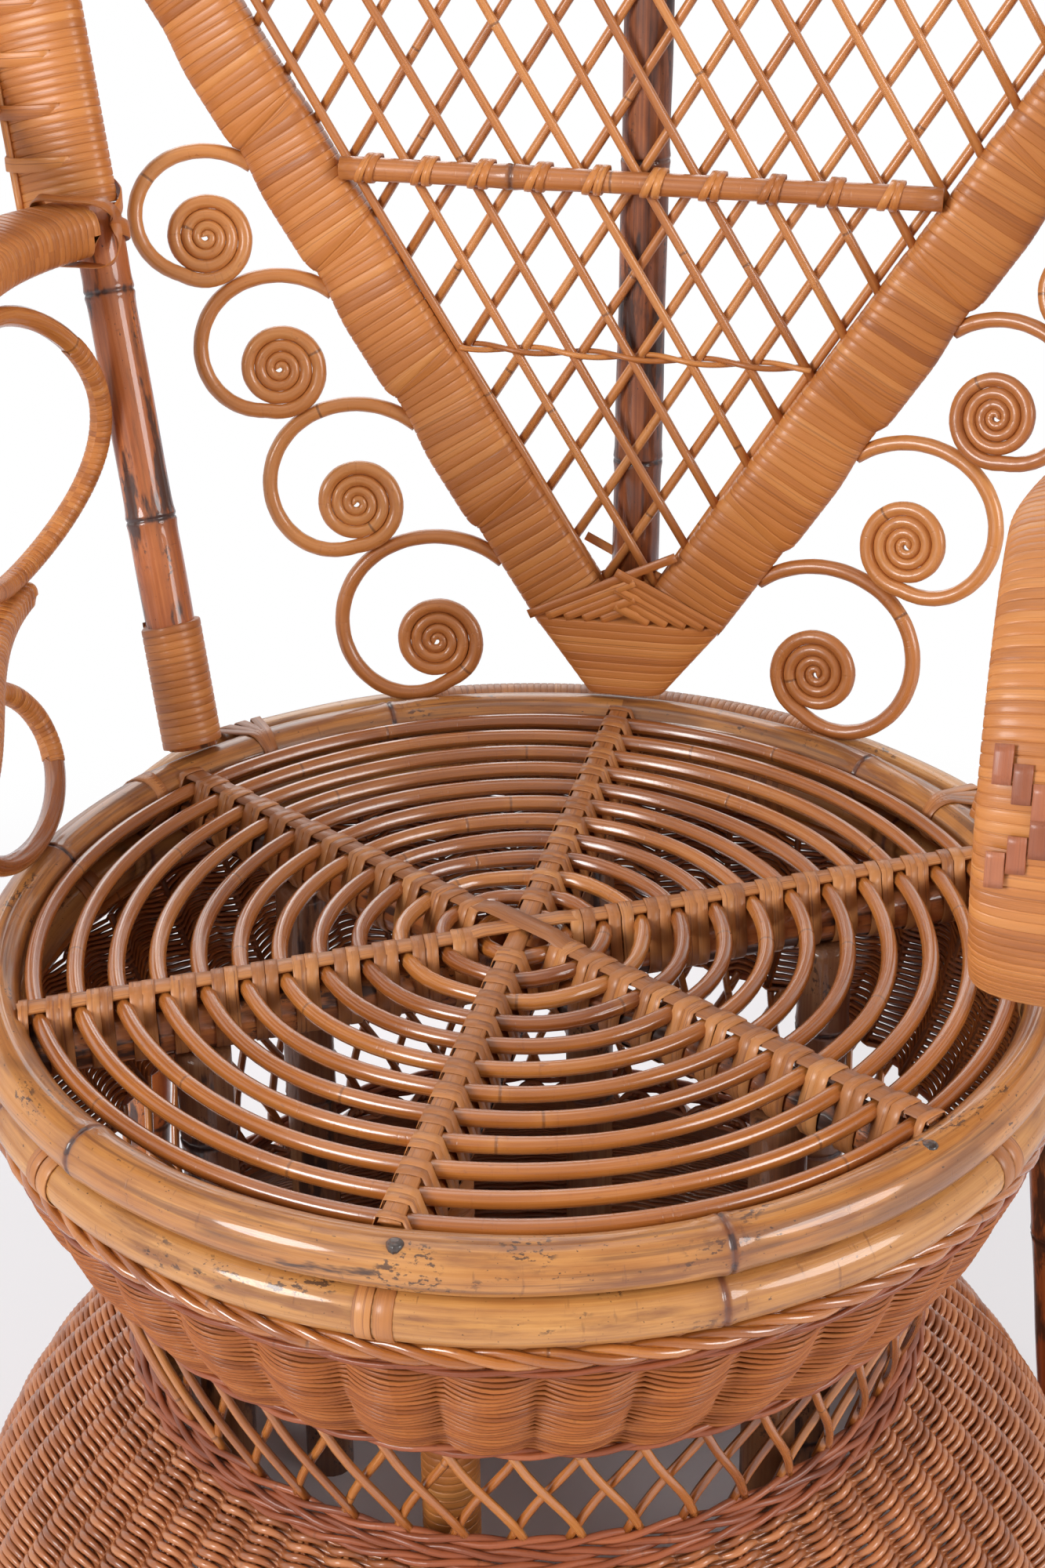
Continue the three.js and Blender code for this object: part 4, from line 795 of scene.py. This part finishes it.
# %% [markdown]
# ## The back
# The back leans by five degrees from a line behind the seat. It is drawn upright, as on a bench, and one
# function tips it into place. Its frame is a wide band: a V from the foot, which flares out and closes
# over the top in an arch.

# %% Frame of the back
BACK_LEAN, BACK_LINE, BACK_Z = math.radians(5), 246.0, 3.0
V_TILT, V_HALF, V_LENGTH = math.radians(33.4), 21.5, 424.0
ARCH_HALF, ARCH_Z, ARCH_RISE = 385.0, 687.0, 270.0


def on_back(x, y, z):
    c, s = math.cos(BACK_LEAN), math.sin(BACK_LEAN)
    return columns(x, BACK_LINE + y * c + z * s, BACK_Z - y * s + z * c)


def bezier(a, b, c, d, count):
    t = np.linspace(0, 1, count)[:, None]
    return (1 - t) ** 3 * a + 3 * (1 - t) ** 2 * t * b + 3 * (1 - t) * t * t * c + t ** 3 * d


v_along = np.array([math.sin(V_TILT), math.cos(V_TILT)])
v_out = np.array([math.cos(V_TILT), -math.sin(V_TILT)])
v_start = np.array([52.0, 42.0]) - V_HALF * v_out + 0.3 * v_along
v_end = v_start + V_LENGTH * v_along
widest = np.array([ARCH_HALF, ARCH_Z])
climb = widest[1] - v_end[1]
flare = bezier(v_end, v_end + v_along * climb * 0.55, widest - np.array([0, climb * 0.35]), widest, 40)
turn = np.linspace(0, np.pi / 2, 60)[1:]
arch = columns(ARCH_HALF * np.cos(turn), ARCH_Z + ARCH_RISE * np.sin(turn))
frame_half = np.vstack([np.linspace(v_start - 9 * v_along, v_end, 120), flare[1:], arch])
frame_line = np.vstack([frame_half[:-1] * [-1, 1], frame_half[::-1]])
frame_reach = lengths(frame_line)
print("frame line", round(frame_reach[-1]), "mm")

# %% [markdown]
# The frame is wound with flat strip all the way. Where a scroll's foot is tucked under the winding, the
# band swells outwards for a few turns, which the photograph shows as small steps on its outer edge.

# %% Winding of the frame
SCROLL_COUNT, SCROLL_TOP, SCROLL_SPACE = 4, 251.0, 6.0
COIL_RADIUS, LOOP_RADIUS, LOOP_GROWTH = 22.3, 43.0, 4.3


def loop_radius(order):
    return LOOP_RADIUS + order * LOOP_GROWTH


def scroll_place(order):
    return SCROLL_TOP - sum(loop_radius(i) + COIL_RADIUS + SCROLL_SPACE for i in range(1, order + 1))


def left_of(line):
    tangent = unit(np.gradient(line, axis=0))
    return columns(-tangent[:, 1], tangent[:, 0])


tucked = np.zeros(len(frame_line))
for order in range(SCROLL_COUNT):
    root = scroll_place(order) + loop_radius(order) + 5
    for past_root in (frame_reach - root, frame_reach[-1] - root - frame_reach):
        tucked += eased(past_root, -9, -3) * (1 - eased(past_root, 28, 60))
outside = left_of(frame_line)
bulged = frame_line + outside * (1.5 * tucked)[:, None]
frame_band = Strands()
wound(frame_band, on_back(bulged[:, 0], -0.8 * tucked, bulged[:, 1]), FORWARD,
      20.7 + 1.2 * tucked, 9.4 + 1.0 * tucked, 4.7, 0.6, squareness=3.6, sides=28)
frame_band.make("back_frame_winding", strip, "wrap", "back_frame")

# %% [markdown]
# The foot is a wedge wound level with the floor. Above it, in the fork of the V, strips from the left and
# the right pass over and under each other and close the gap like folded hands.

# %% Foot of the back
FOLD_SLOPE, FOLD_STEP, FOLD_TUCK, FOLD_COUNT = math.tan(math.radians(26)), 9.6, 4.0, 5
foot = Strands()
z = np.linspace(1.5, 45.0, 14)
foot_half = np.interp(z, [0, 42, 45], [17.5, 51.0, 49.0])
wound(foot, on_back(0, 0, z), FORWARD, foot_half, 11.2, 4.3, 0.4, squareness=4.5, sides=32)
for face in (-1, 1):
    out = on_back(0, face, 0) - on_back(0, 0, 0)
    for k in range(FOLD_COUNT):
        for side in (-1, 1):
            start = -47 + FOLD_STEP * k
            past = 26.0 if k == 0 and side == face else 5.0
            x = np.linspace(start - FOLD_TUCK, past, 18)
            z = 45.0 + (x - start) * FOLD_SLOPE
            over = (k + (side > 0)) % 2
            lifted = 9.6 + 0.3 * (6 - k) + (0.3 + 1.1 * over) * eased(x, -9, -2)
            strap(foot, on_back(-side * x, face * lifted, z), out, 4.9, 0.55)
# The foot's lighter strip finish is painted light.
foot.make("back_foot_winding", lit_foot_strip, "wrap", "back_foot")

# %% [markdown]
# Inside the frame two families of thin canes cross at an acute angle. Each cane is clipped where it meets
# the frame: points along it are tested against the frame's inner edge, and the first and last points
# inside are kept, with a little more to tuck its ends under the winding.

# %% Lattice of the back
LATTICE_LEAN, LATTICE_STEP, LATTICE_CANE = math.tan(math.radians(32)), 29.6, 2.45
inner_edge = (frame_line - outside * (V_HALF - 7))[:len(frame_half) - 1:-1]
height = np.arange(40.0, 950.0, 2.0)
inner_half = np.interp(height, inner_edge[:, 1], inner_edge[:, 0], left=0, right=0)


def lattice_x(k, family, z):
    return (k + 0.5) * LATTICE_STEP + family * LATTICE_LEAN * (z - 60)


lattice = Strands()
for family, layer in ((-1, -2.6), (1, 2.6)):
    for k in range(-32, 33):
        within = np.flatnonzero(np.abs(lattice_x(k, family, height)) < inner_half)
        if len(within) < 6:
            continue
        low, high = height[within[[0, -1]]]
        z = np.linspace(low, high, max(3, int((high - low) / 30)))
        sway = 0.5 * np.sin(z / 41.0 + k)
        tube(lattice, on_back(lattice_x(k, family, z) + sway, layer, z), LATTICE_CANE, FORWARD, 8)
lattice.make("back_lattice_canes", honey, "cane", "back_lattice")

# %% [markdown]
# A rail crosses the lattice and is tied to it at each crossing with a slanting turn of strip. Lower down a
# thin pair of strands is twined through the canes.

# %% Rail and twined pair
RAIL_HEIGHT, RAIL_Y, TWINE_HEIGHT = 270.0, -9.8, 181.0
rail_half = v_start[0] + (RAIL_HEIGHT - v_start[1]) * math.tan(V_TILT) - V_HALF / math.cos(V_TILT) - 1.0
rail = Strands()
rail_line = on_back(np.array([-rail_half, rail_half]), RAIL_Y, RAIL_HEIGHT)
pole(rail, rail_line, 5.9, UP, [88.0], sides=12, step=15)
rail.make("lattice_rail_cane", honey, "wrap", "lattice_rail")
rail_ties = Strands()
spots = np.arange(-6, 7) * LATTICE_STEP * 0.98 + 9
turn = full_circle(22)
out = on_back(0, np.cos(turn), np.sin(turn)) - on_back(0, 0, 0)
for spot in spots[np.abs(spots) < rail_half - 8]:
    for lean, beside in ((0.35, -2.0), (0.2, 2.6)):
        x = spot + beside + 4.5 * lean * np.sin(turn) * 2
        around_rail = on_back(x, RAIL_Y + 3.1 + 9.4 * np.cos(turn), RAIL_HEIGHT + 6.6 * np.sin(turn))
        strap(rail_ties, around_rail, out, 4.2, 0.8, closed=True, crown=1.25)
x = np.linspace(-90, 90, 120)
for k in range(2):
    phase = x / LATTICE_STEP * np.pi + np.pi * k
    twine = on_back(x, 4.6 * np.cos(phase) - 0.4, TWINE_HEIGHT + 1.1 * np.sin(phase))
    tube(rail_ties, twine, 1.5, UP, 7)
rail_ties.make("lattice_ties", strip, "wrap")

# %% [markdown]
# Behind the lattice stands one dark bamboo pole, smoked nearly black with brown patches where the colour
# has worn off.

# %% Centre pole
centre = Strands()
centre_line = on_back(0.0, 15.3, np.array([64.0, 934.0]))
pole(centre, centre_line, 12.2, FORWARD, [60.0, 214.0, 395.0, 560.0, 735.0], sides=18, step=20)
centre.make("centre_pole_bamboo", dark_bamboo, "dark_bamboo", "centre_pole")

# %% [markdown]
# Eight scrolls fill the corners beside the V. Each is one cane: a round loop that tightens into a coil
# of falling thickness. In its own plane the line is a circle whose radius shrinks with the angle; that
# plane is turned forward a little about the edge of the V.

# %% Scrolls
SCROLL_CANE, SCROLL_TAPER, SCROLL_GAP, SCROLL_TURNS = 7.2, 1.1, 0.5, 3.8


def scroll_line(order, seat):
    loop = loop_radius(order)
    outward = loop + 17.5
    blend_from, blend_to = 77 + 3 * order, 207 + 17 * order
    begin = math.degrees(math.acos((outward - seat + 2) / loop))
    degrees = np.concatenate([np.linspace(begin, blend_to, 60, endpoint=False),
                              np.linspace(blend_to, blend_to + 360 * SCROLL_TURNS, 170)])
    turns = np.maximum(0, (degrees - blend_to) / 360)
    fall = np.clip((degrees - blend_from) / (blend_to - blend_from), 0, 1)
    share = (0.5 + 0.5 * np.cos(np.pi * fall)) ** 0.7
    coil = COIL_RADIUS - (SCROLL_CANE + SCROLL_GAP) * turns + SCROLL_TAPER * turns ** 2 / 2
    r = coil + (loop - coil) * share
    turn = np.radians(degrees)
    thick = (SCROLL_CANE - SCROLL_TAPER * turns) / 2
    return scroll_place(order) + r * np.sin(turn), outward - r * np.cos(turn), thick


for order in range(SCROLL_COUNT):
    forward = math.radians(25 - 13 * order / (SCROLL_COUNT - 1))
    seat = V_HALF + 0.3 + SCROLL_CANE / 2 * math.sin(forward)
    along, outward, thick = scroll_line(order, seat)
    hinge = v_start + v_out * seat
    flat = (outward - seat) * math.cos(forward)
    x, z = (hinge[i] + v_along[i] * along + v_out[i] * flat for i in (0, 1))
    y = -(outward - seat) * math.sin(forward)
    crimp = (thick + 0.36) * (1 + 0.015 * np.sin(np.arange(len(thick)) * 1.7))
    for side, flip in MIRROR.items():
        curl = Strands()
        tube(curl, on_back(x, y, z) * flip, crimp, FORWARD, 10)
        curl.make(f"scroll_{side}_{order + 1}_cane", honey, "cane", f"scroll_{side}_{order + 1}")

# %% [markdown]
# ## The sides
# A pole leans out from the rim on each side and rests against the frame. Its foot sits in a wound sleeve,
# and above the arm a second pole joins it and both are wound together into a wing, with a thin cane
# bound along its outer edge. Two crossed ties hold the end of the arm to the pole. Each is drawn by a few
# corners on one half, mirrored and rounded off by a curve that passes through them all.

# %% Side poles
POLE_FOOT_Z, WING_FOOT_Z, WING_TOP_Z = 3.0, 257.0, 440.0


def back_plane_y(z):
    return BACK_LINE + (z - BACK_Z) * math.tan(BACK_LEAN)


def side_pole_at(z):
    foot = at_azimuth(123.9, 245.6, POLE_FOOT_Z)
    share = (z - POLE_FOOT_Z) / (WING_TOP_Z - POLE_FOOT_Z)
    head_y = back_plane_y(WING_TOP_Z) - 22.8
    y = foot[1] + (head_y - foot[1]) * share
    return columns(foot[0] + 101 * share, y, z)


def rounded(corners, count):
    before, after, later = (np.roll(corners, shift, axis=0) for shift in (1, -1, -2))
    t = np.linspace(0, 1, count // len(corners) + 1)[:-1, None, None]
    curve = (2 * corners + (after - before) * t + (2 * before - 5 * corners + 4 * after - later) * t ** 2
             + (3 * corners - before - 3 * after + later) * t ** 3)
    return np.swapaxes(curve / 2, 0, 1).reshape(-1, 3)


wing_tie = np.array([[22, 12.2], [31, 10.0], [37.5, 3.5], [39.2, -4.0], [38.0, -8.6], [33, -11.6],
                     [26, -12.8], [16, -13.2], [8, -13.0], [3, -12.0]])
tie_x, tie_y = wing_tie.T
tie_line = columns(tie_x, tie_y, -0.1 * tie_x)
tie_out = unit(columns((tie_x - 13) / 3, tie_y, 0))
cross_half = np.array([[0, -31, 14.2], [14, -30, 14.2], [18.6, -25, 10], [16, -15, 4], [13.4, -6, -2],
                       [13.8, 2, -6], [11.2, 8, -9.5]])
cross_tie = np.vstack([cross_half, [[0, 14.0, -13]], cross_half[:0:-1] * [-1, 1, 1]])
for side, flip in MIRROR.items():
    leaning = Strands()
    ends = side_pole_at(np.array([3.4, 261.0])) * flip
    pole(leaning, ends, 12.3, FORWARD, [118.0, 232.0], sides=16, step=12)
    leaning.make(f"side_pole_{side}_bamboo", scorched, "bamboo", f"side_pole_{side}")
    wing = Strands()
    wound(wing, side_pole_at(np.linspace(4.0, 66.0, 20)) * flip, FORWARD, 14.6, 14.6, 3.9)
    wing_line = side_pole_at(np.linspace(WING_FOOT_Z, WING_TOP_Z, 44))
    wound(wing, (wing_line + [12.0, 0, 0]) * flip, FORWARD, 23.6, 11.8, 4.2, squareness=2.6, sides=28)
    tube(wing, (wing_line + [36.5, -5.5, 0]) * flip, 2.2, FORWARD, 8)
    for z in np.arange(284.0, 432.0, 24.0):
        strap(wing, (side_pole_at(z) + tie_line) * flip, tie_out * flip, 7.4, 0.5)
    for lean in (-1, 1):
        loop = rounded(cross_tie * [1, 1, lean], 60)
        ahead = eased(-loop[:, 1], 10, 26)
        core = columns(0, loop[:, 1] * ahead, loop[:, 2] * (1 - ahead))
        outward = unit(loop - core)
        lifted = loop + outward * (0.7 if lean > 0 else 0.0)
        tie = side_pole_at(WING_FOOT_Z + lifted[:, 2]) + lifted * [1, 1, 0]
        strap(wing, tie * flip, outward * flip, 8.5, 0.7, closed=True)
    wing.make(f"side_pole_{side}_winding", strip, "wrap")

# %% [markdown]
# Each arm is a hairpin: a flat band that leaves the pole, swells outwards and widens to the front, turns
# down in a half circle and comes back thinner below. It is wound across its whole length. On the front
# of the bend dark strips are threaded along it, over some turns and under others, and draw two crosses.

# %% Arms
ARM_TOP, ARM_BEND, ARM_BEND_Y, ARM_REAR, ARM_TAIL = 256.0, 84.0, -113.0, 192.0, 112.0
ARM_WIDE, ARM_THICK, TAIL_TOP = 104.0, 26.0, 101.0


def past_bend(y, end):
    share = np.clip((y - ARM_BEND_Y) / (end - ARM_BEND_Y), 0, 1)
    return (share - 0.06 * (1 - np.exp(-share / 0.06))) / 0.94


def arm_x(y):
    share = past_bend(y, ARM_REAR)
    return 262.0 + 40.0 * share * (1 - share) * (1 + 4.4 * share)


def tail_thick(y):
    return ARM_THICK - 13 * past_bend(y, ARM_TAIL)


y_top = np.linspace(ARM_REAR - 1, ARM_BEND_Y, 50)[:-1]
bend = np.linspace(np.pi / 2, 3 * np.pi / 2, 40)
y_low = np.linspace(ARM_BEND_Y, ARM_TAIL, 40)[1:]
bend_wide = np.full(len(bend), ARM_WIDE)
bend_z = ARM_TOP - ARM_BEND + ARM_BEND * np.sin(bend)
arm_y = np.concatenate([y_top, ARM_BEND_Y + ARM_BEND * np.cos(bend), y_low])
arm_z = np.concatenate([np.full(len(y_top), ARM_TOP), bend_z, TAIL_TOP - tail_thick(y_low) / 2])
arm_thick = np.concatenate([np.full(len(y_top) + len(bend), ARM_THICK), tail_thick(y_low)])
arm_wide = np.concatenate([ARM_WIDE - 70 * past_bend(y_top, ARM_REAR), bend_wide,
                           ARM_WIDE - 90 * past_bend(y_low, ARM_TAIL)])
arm_line = columns(arm_x(arm_y), arm_y, arm_z)
arm_line[-len(y_low):, 0] -= 20 * past_bend(y_low, ARM_TAIL)
arm_up = unit(np.cross(np.gradient(arm_line, axis=0), ACROSS))
arm_reach = lengths(arm_line)
INLAY_TURN, INLAY_LANE = math.pi - math.asin(19 / 97), 7.2
inlay_middle = np.interp(INLAY_TURN, bend, arm_reach[len(y_top):len(y_top) + len(bend)])
for side, flip in MIRROR.items():
    arm = Strands()
    wound(arm, arm_line * flip, arm_up, arm_wide / 2 - 0.8, arm_thick / 2 - 0.8, 4.3, 0.8, 3.2, sides=36)
    arm.make(f"arm_{side}_winding", strip, "wrap", f"arm_{side}")
    inlay = Strands()
    for lane in range(-6, 7):
        apart = 5.6 * abs(abs(lane) - 3.0)
        for spot in (inlay_middle - apart, inlay_middle + apart):
            places = spot + np.linspace(-6.2, 6.2, 5)
            out = along_line(arm_up, arm_reach, places)
            thick = np.interp(places, arm_reach, arm_thick)[:, None] / 2
            path = along_line(arm_line, arm_reach, places) + out * (thick - 0.3) + ACROSS * lane * INLAY_LANE
            strap(inlay, path * flip, out, 6.9, 0.5)
    inlay.make(f"arm_{side}_inlay", dark_strip, "wrap")

# %% [markdown]
# Under each arm two ovals of thicker cane fill the gap: one between the rails of the hairpin and one
# between the hairpin and the rim. Where they touch the lower rail they are wound to it.

# %% Ovals
OVAL_CANE, OVAL_SET_IN, RIM_OVAL_Y, RIM_TOP = 10.5, 20.0, 15.0, 3.0
tail_low = TAIL_TOP - tail_thick(RIM_OVAL_Y)
oval_rear = float(side_pole_at(172.0)[1]) - 12.5 - 1.5


def arm_oval_x(y, z):
    return arm_x(y) - OVAL_SET_IN - 8 * (1 - (2 * (z - TAIL_TOP) / 142 - 1) ** 2)


def rim_oval_x(y, z):
    return RIM_RADIUS + (arm_x(y) - OVAL_SET_IN - RIM_RADIUS) * (z - RIM_TOP) / (tail_low - RIM_TOP)


def oval(centre_y, length, low, high, x_at):
    turn = full_circle(72)
    y = centre_y + (length - OVAL_CANE) / 2 * np.cos(turn)
    z = (low + high) / 2 + ((high - low - OVAL_CANE) / 2 - 0.3) * np.sin(turn)
    return columns(x_at(y, z), y, z)


arm_oval = oval(oval_rear - 75, 150, TAIL_TOP, 243, arm_oval_x)
rim_oval = oval(RIM_OVAL_Y, 125, RIM_TOP, tail_low, rim_oval_x)
for side, flip in MIRROR.items():
    for name, line, first, bound in (("arm_oval", arm_oval, 26, 34), ("rim_oval", rim_oval, 6, 24)):
        loop = Strands()
        tube(loop, line * flip, 5.1, ACROSS, 10, closed=True)
        loop.make(f"{name}_{side}_cane", cane, "cane", f"{name}_{side}")
        binding = Strands()
        wound(binding, np.roll(line, first, axis=0)[:bound] * flip, ACROSS, 5.2, 5.2, 2.9, 0.4, sides=14)
        binding.make(f"{name}_{side}_winding", strip, "wrap")

# %% [markdown]
# ## The fan
# An outer hoop rises from the arms and arches over the back, wound like the frame. Between it and the
# wing and frame runs a lace of thin canes that swing from one edge to the other and cross each other.

# %% Outer hoop
FAN_HALF, FAN_Z, FAN_RISE, FAN_AHEAD, FAN_FOOT_Y = 512.0, 700.0, 375.0, 45.0, 110.0
hoop_foot = np.array([arm_x(FAN_FOOT_Y), FAN_FOOT_Y, 269.3])
upright = hoop_foot + np.array([0, 0, 26.0])
hoop_wide = np.array([FAN_HALF, back_plane_y(FAN_Z) - FAN_AHEAD, FAN_Z])
hoop_rise = hoop_wide[2] - upright[2]
away = upright + (hoop_wide - upright) * 0.2
away[0] = upright[0] + hoop_rise * 0.42
hoop_flare = bezier(upright, away, hoop_wide - np.array([0, 0, hoop_rise * 0.5]), hoop_wide, 60)
turn = np.linspace(0, np.pi / 2, 70)[1:]
hoop_z = FAN_Z + FAN_RISE * np.sin(turn)
hoop_y = back_plane_y(hoop_z) - FAN_AHEAD * np.cos(turn)
hoop_arch = columns(FAN_HALF * np.cos(turn), hoop_y, hoop_z)
hoop_half = np.vstack([np.linspace(hoop_foot, upright, 6)[:-1], hoop_flare, hoop_arch])


def whole(half):
    return np.vstack([half[:-1] * MIRROR["left"], half[::-1]])


outer = Strands()
wound(outer, whole(hoop_half), FORWARD, 12.2, 12.2, 4.6, 0.8)
outer.make("outer_hoop_winding", strip, "wrap", "outer_hoop")

# %% [markdown]
# The lace is made of waves: with the inner and outer edge measured by the same share of their length, a
# strand swings between them as a cosine. Four strands, each a quarter wave on, cross into pointed cells.

# %% Lacework
LACE_CELLS, LACE_POINTS, LACE_STRANDS = 30, 900, 4
wing_edge = side_pole_at(np.linspace(294.0, 440.0, 20)) + [37.0, 0, 0]
edge_x, edge_z = (frame_half - left_of(frame_half) * 22).T
frame_edge = on_back(edge_x, 0, edge_z)
frame_edge = frame_edge[frame_edge[:, 2] > 483.0]
frame_edge[-1, 0] = 0
outer_half = hoop_half[6:].copy()
outward = unit(np.gradient(outer_half, axis=0))
outer_half += columns(-outward[:, 2], 0, outward[:, 0]) * 12.8
outer_half[-1, 0] = 0


def evenly(half):
    line = whole(half)
    reach = lengths(line)
    return along_line(line, reach, np.linspace(0, reach[-1], LACE_POINTS))


inner_line = evenly(np.vstack([wing_edge, frame_edge]))
lace_width = evenly(outer_half) - inner_line
lace = Strands()
share = np.linspace(0, 1, LACE_POINTS)
for k in range(LACE_STRANDS):
    phase = 2 * np.pi * (share * LACE_CELLS / 2 + k / LACE_STRANDS)
    path = inner_line + lace_width * (0.5 - 0.5 * np.cos(phase))[:, None]
    path[:, 1] += 2.0 * np.sin(phase) * (1 if k % 2 else -1)
    tube(lace, path, 2.3, FORWARD, 7)
for level, behind in ((0.02, 0), (0.5, 4.2), (0.98, 0)):
    path = inner_line + lace_width * level
    tube(lace, path[::3] + [0, behind, 0], 2.2, FORWARD, 7)
lace.make("fan_lace", honey, "cane", "fan_lacework")

# %% [markdown]
# ## The studio
# The floor is a wide disc in a pale, slightly violet white. Just outside the skirt's foot four tenths of it
# turns plain white for the eye alone, painted light that also lightens the chair's shadow there, and far from
# the chair it turns wholly white, so that there is no horizon. Under the chair it keeps the chair's shadow.

# %% Floor
FLOOR_RADIUS, FLOOR_CORNERS = 7, 64
floor_mesh = bpy.data.meshes.new("studio_floor")
ring = [(FLOOR_RADIUS * math.cos(a), FLOOR_RADIUS * math.sin(a), 0.0) for a in full_circle(FLOOR_CORNERS)]
floor_mesh.from_pydata(ring, [], [list(range(FLOOR_CORNERS))])
floor = in_scene("studio_floor", floor_mesh)
floor_finish = bpy.data.materials.new("pale_floor")
floor_finish.use_nodes = True
tree = floor_finish.node_tree
paint = tree.nodes["Principled BSDF"]
paint.inputs["Base Color"].default_value = (0.88, 0.85, 0.89, 1)
paint.inputs["Roughness"].default_value = 0.6
start = Shade(tree)
spot = start.node("ShaderNodeTexCoord", output=3)
away = start.node("ShaderNodeVectorMath", {"operation": "LENGTH"}, {0: spot}, output=1)
seen = start.node("ShaderNodeLightPath")
# Painted light for the eye: four tenths white just outside the skirt, wholly white far away.
white_to_eye = away.eased(0.27, 0.33) * 0.4 + away.eased(0.6, 1.0) * 0.6
white = start.node("ShaderNodeEmission", {}, {"Color": (1, 1, 1, 1), "Strength": 1.0})
mixed = start.node("ShaderNodeMixShader", {}, {0: white_to_eye * seen, 1: Shade(tree, paint.outputs[0]), 2: white})
tree.links.new(mixed.socket, tree.nodes["Material Output"].inputs["Surface"])
floor_mesh.materials.append(floor_finish)
print("floor radius", FLOOR_RADIUS, "m")

# %% [markdown]
# Four large soft lamps and a dim, even surround light the chair. The surround is white to the eye but gives
# only part of that as light, so the cane keeps its own colour. In reflections it is brightest behind the
# chair and to its left, as a lit backdrop is, which draws the pale lines along the canes of the seat.

# %% Lamps and surround
def soft_lamp(name, place, aim, size, watts):
    lamp = bpy.data.lights.new(name, "AREA")
    lamp.shape, lamp.size, lamp.energy = "DISK", size, watts
    made = in_scene(name, lamp)
    made.location = place
    x, y, z = np.array(aim) - np.array(place)
    made.rotation_euler = (math.atan2(math.hypot(x, y), -z), 0, math.atan2(y, x) - math.pi / 2)
    print(name, watts, "W")


soft_lamp("key_softbox", (-1.6, -2.3, 1.75), (0, 0, 0.55), 1.2, 73)
soft_lamp("fill_softbox", (2.6, -0.9, 1.5), (0, 0, 0.5), 1.4, 52)
soft_lamp("top_softbox", (-0.3, 0.3, 3.0), (0, 0, 0.4), 1.6, 9)
soft_lamp("rear_softbox", (-0.9, 2.5, 1.8), (0, 0, 0.4), 1.6, 15)
world = bpy.data.worlds.new("studio_surround")
bpy.context.scene.world = world
world.use_nodes = True
tree = world.node_tree
start = Shade(tree)
camera_ray, glossy_ray, through_ray = (start.node("ShaderNodeLightPath", output=i) for i in (0, 3, 6))
direction = start.node("ShaderNodeTexCoord")
rear_left = start.node("ShaderNodeVectorMath", {"operation": "DOT_PRODUCT"},
                       {0: direction, 1: (-0.5, 0.85, 0.15)}, output=1)
mirrored = glossy_ray * (0.5 + rear_left.eased(-0.2, 0.7) * 0.95)
white_for = start.maths("MAXIMUM", start.maths("MAXIMUM", camera_ray, mirrored), through_ray)
glow = 0.31 + white_for * 0.69
tree.nodes["Background"].inputs["Color"].default_value = (1, 1, 1, 1)
tree.links.new(glow.socket, tree.nodes["Background"].inputs["Strength"])
bpy.context.scene.view_settings.view_transform = "Standard"

# %% [markdown]
# The camera stands where the photograph was taken from: in front, a little to the right, above the seat
# and looking down. Its place was solved from the ellipses of the seat canes.

# %% Camera
SENSOR, FOCAL_PIXELS, PICTURE_HEIGHT = 36.0, 3654.37, 2000
eye = bpy.data.cameras.new("photo_camera")
eye.sensor_fit, eye.sensor_height, eye.sensor_width = "VERTICAL", SENSOR, SENSOR
eye.lens = SENSOR * FOCAL_PIXELS / PICTURE_HEIGHT
eye.clip_end = 50
camera = in_scene("photo_camera", eye)
right = np.array([0.97451941, 0.22406436, -0.01034837])
upward = np.array([-0.09514374, 0.45470585, 0.88554518])
looking = np.array([-0.20312457, 0.86199638, -0.46443799])
stand = (np.array([258.612, -1094.148, 664.041]) + SEAT_AXIS) * MM
camera.matrix_world = Matrix([*columns(right, upward, -looking, stand), [0, 0, 0, 1]])
bpy.context.scene.camera = camera
print("lens", round(eye.lens, 1), "mm")
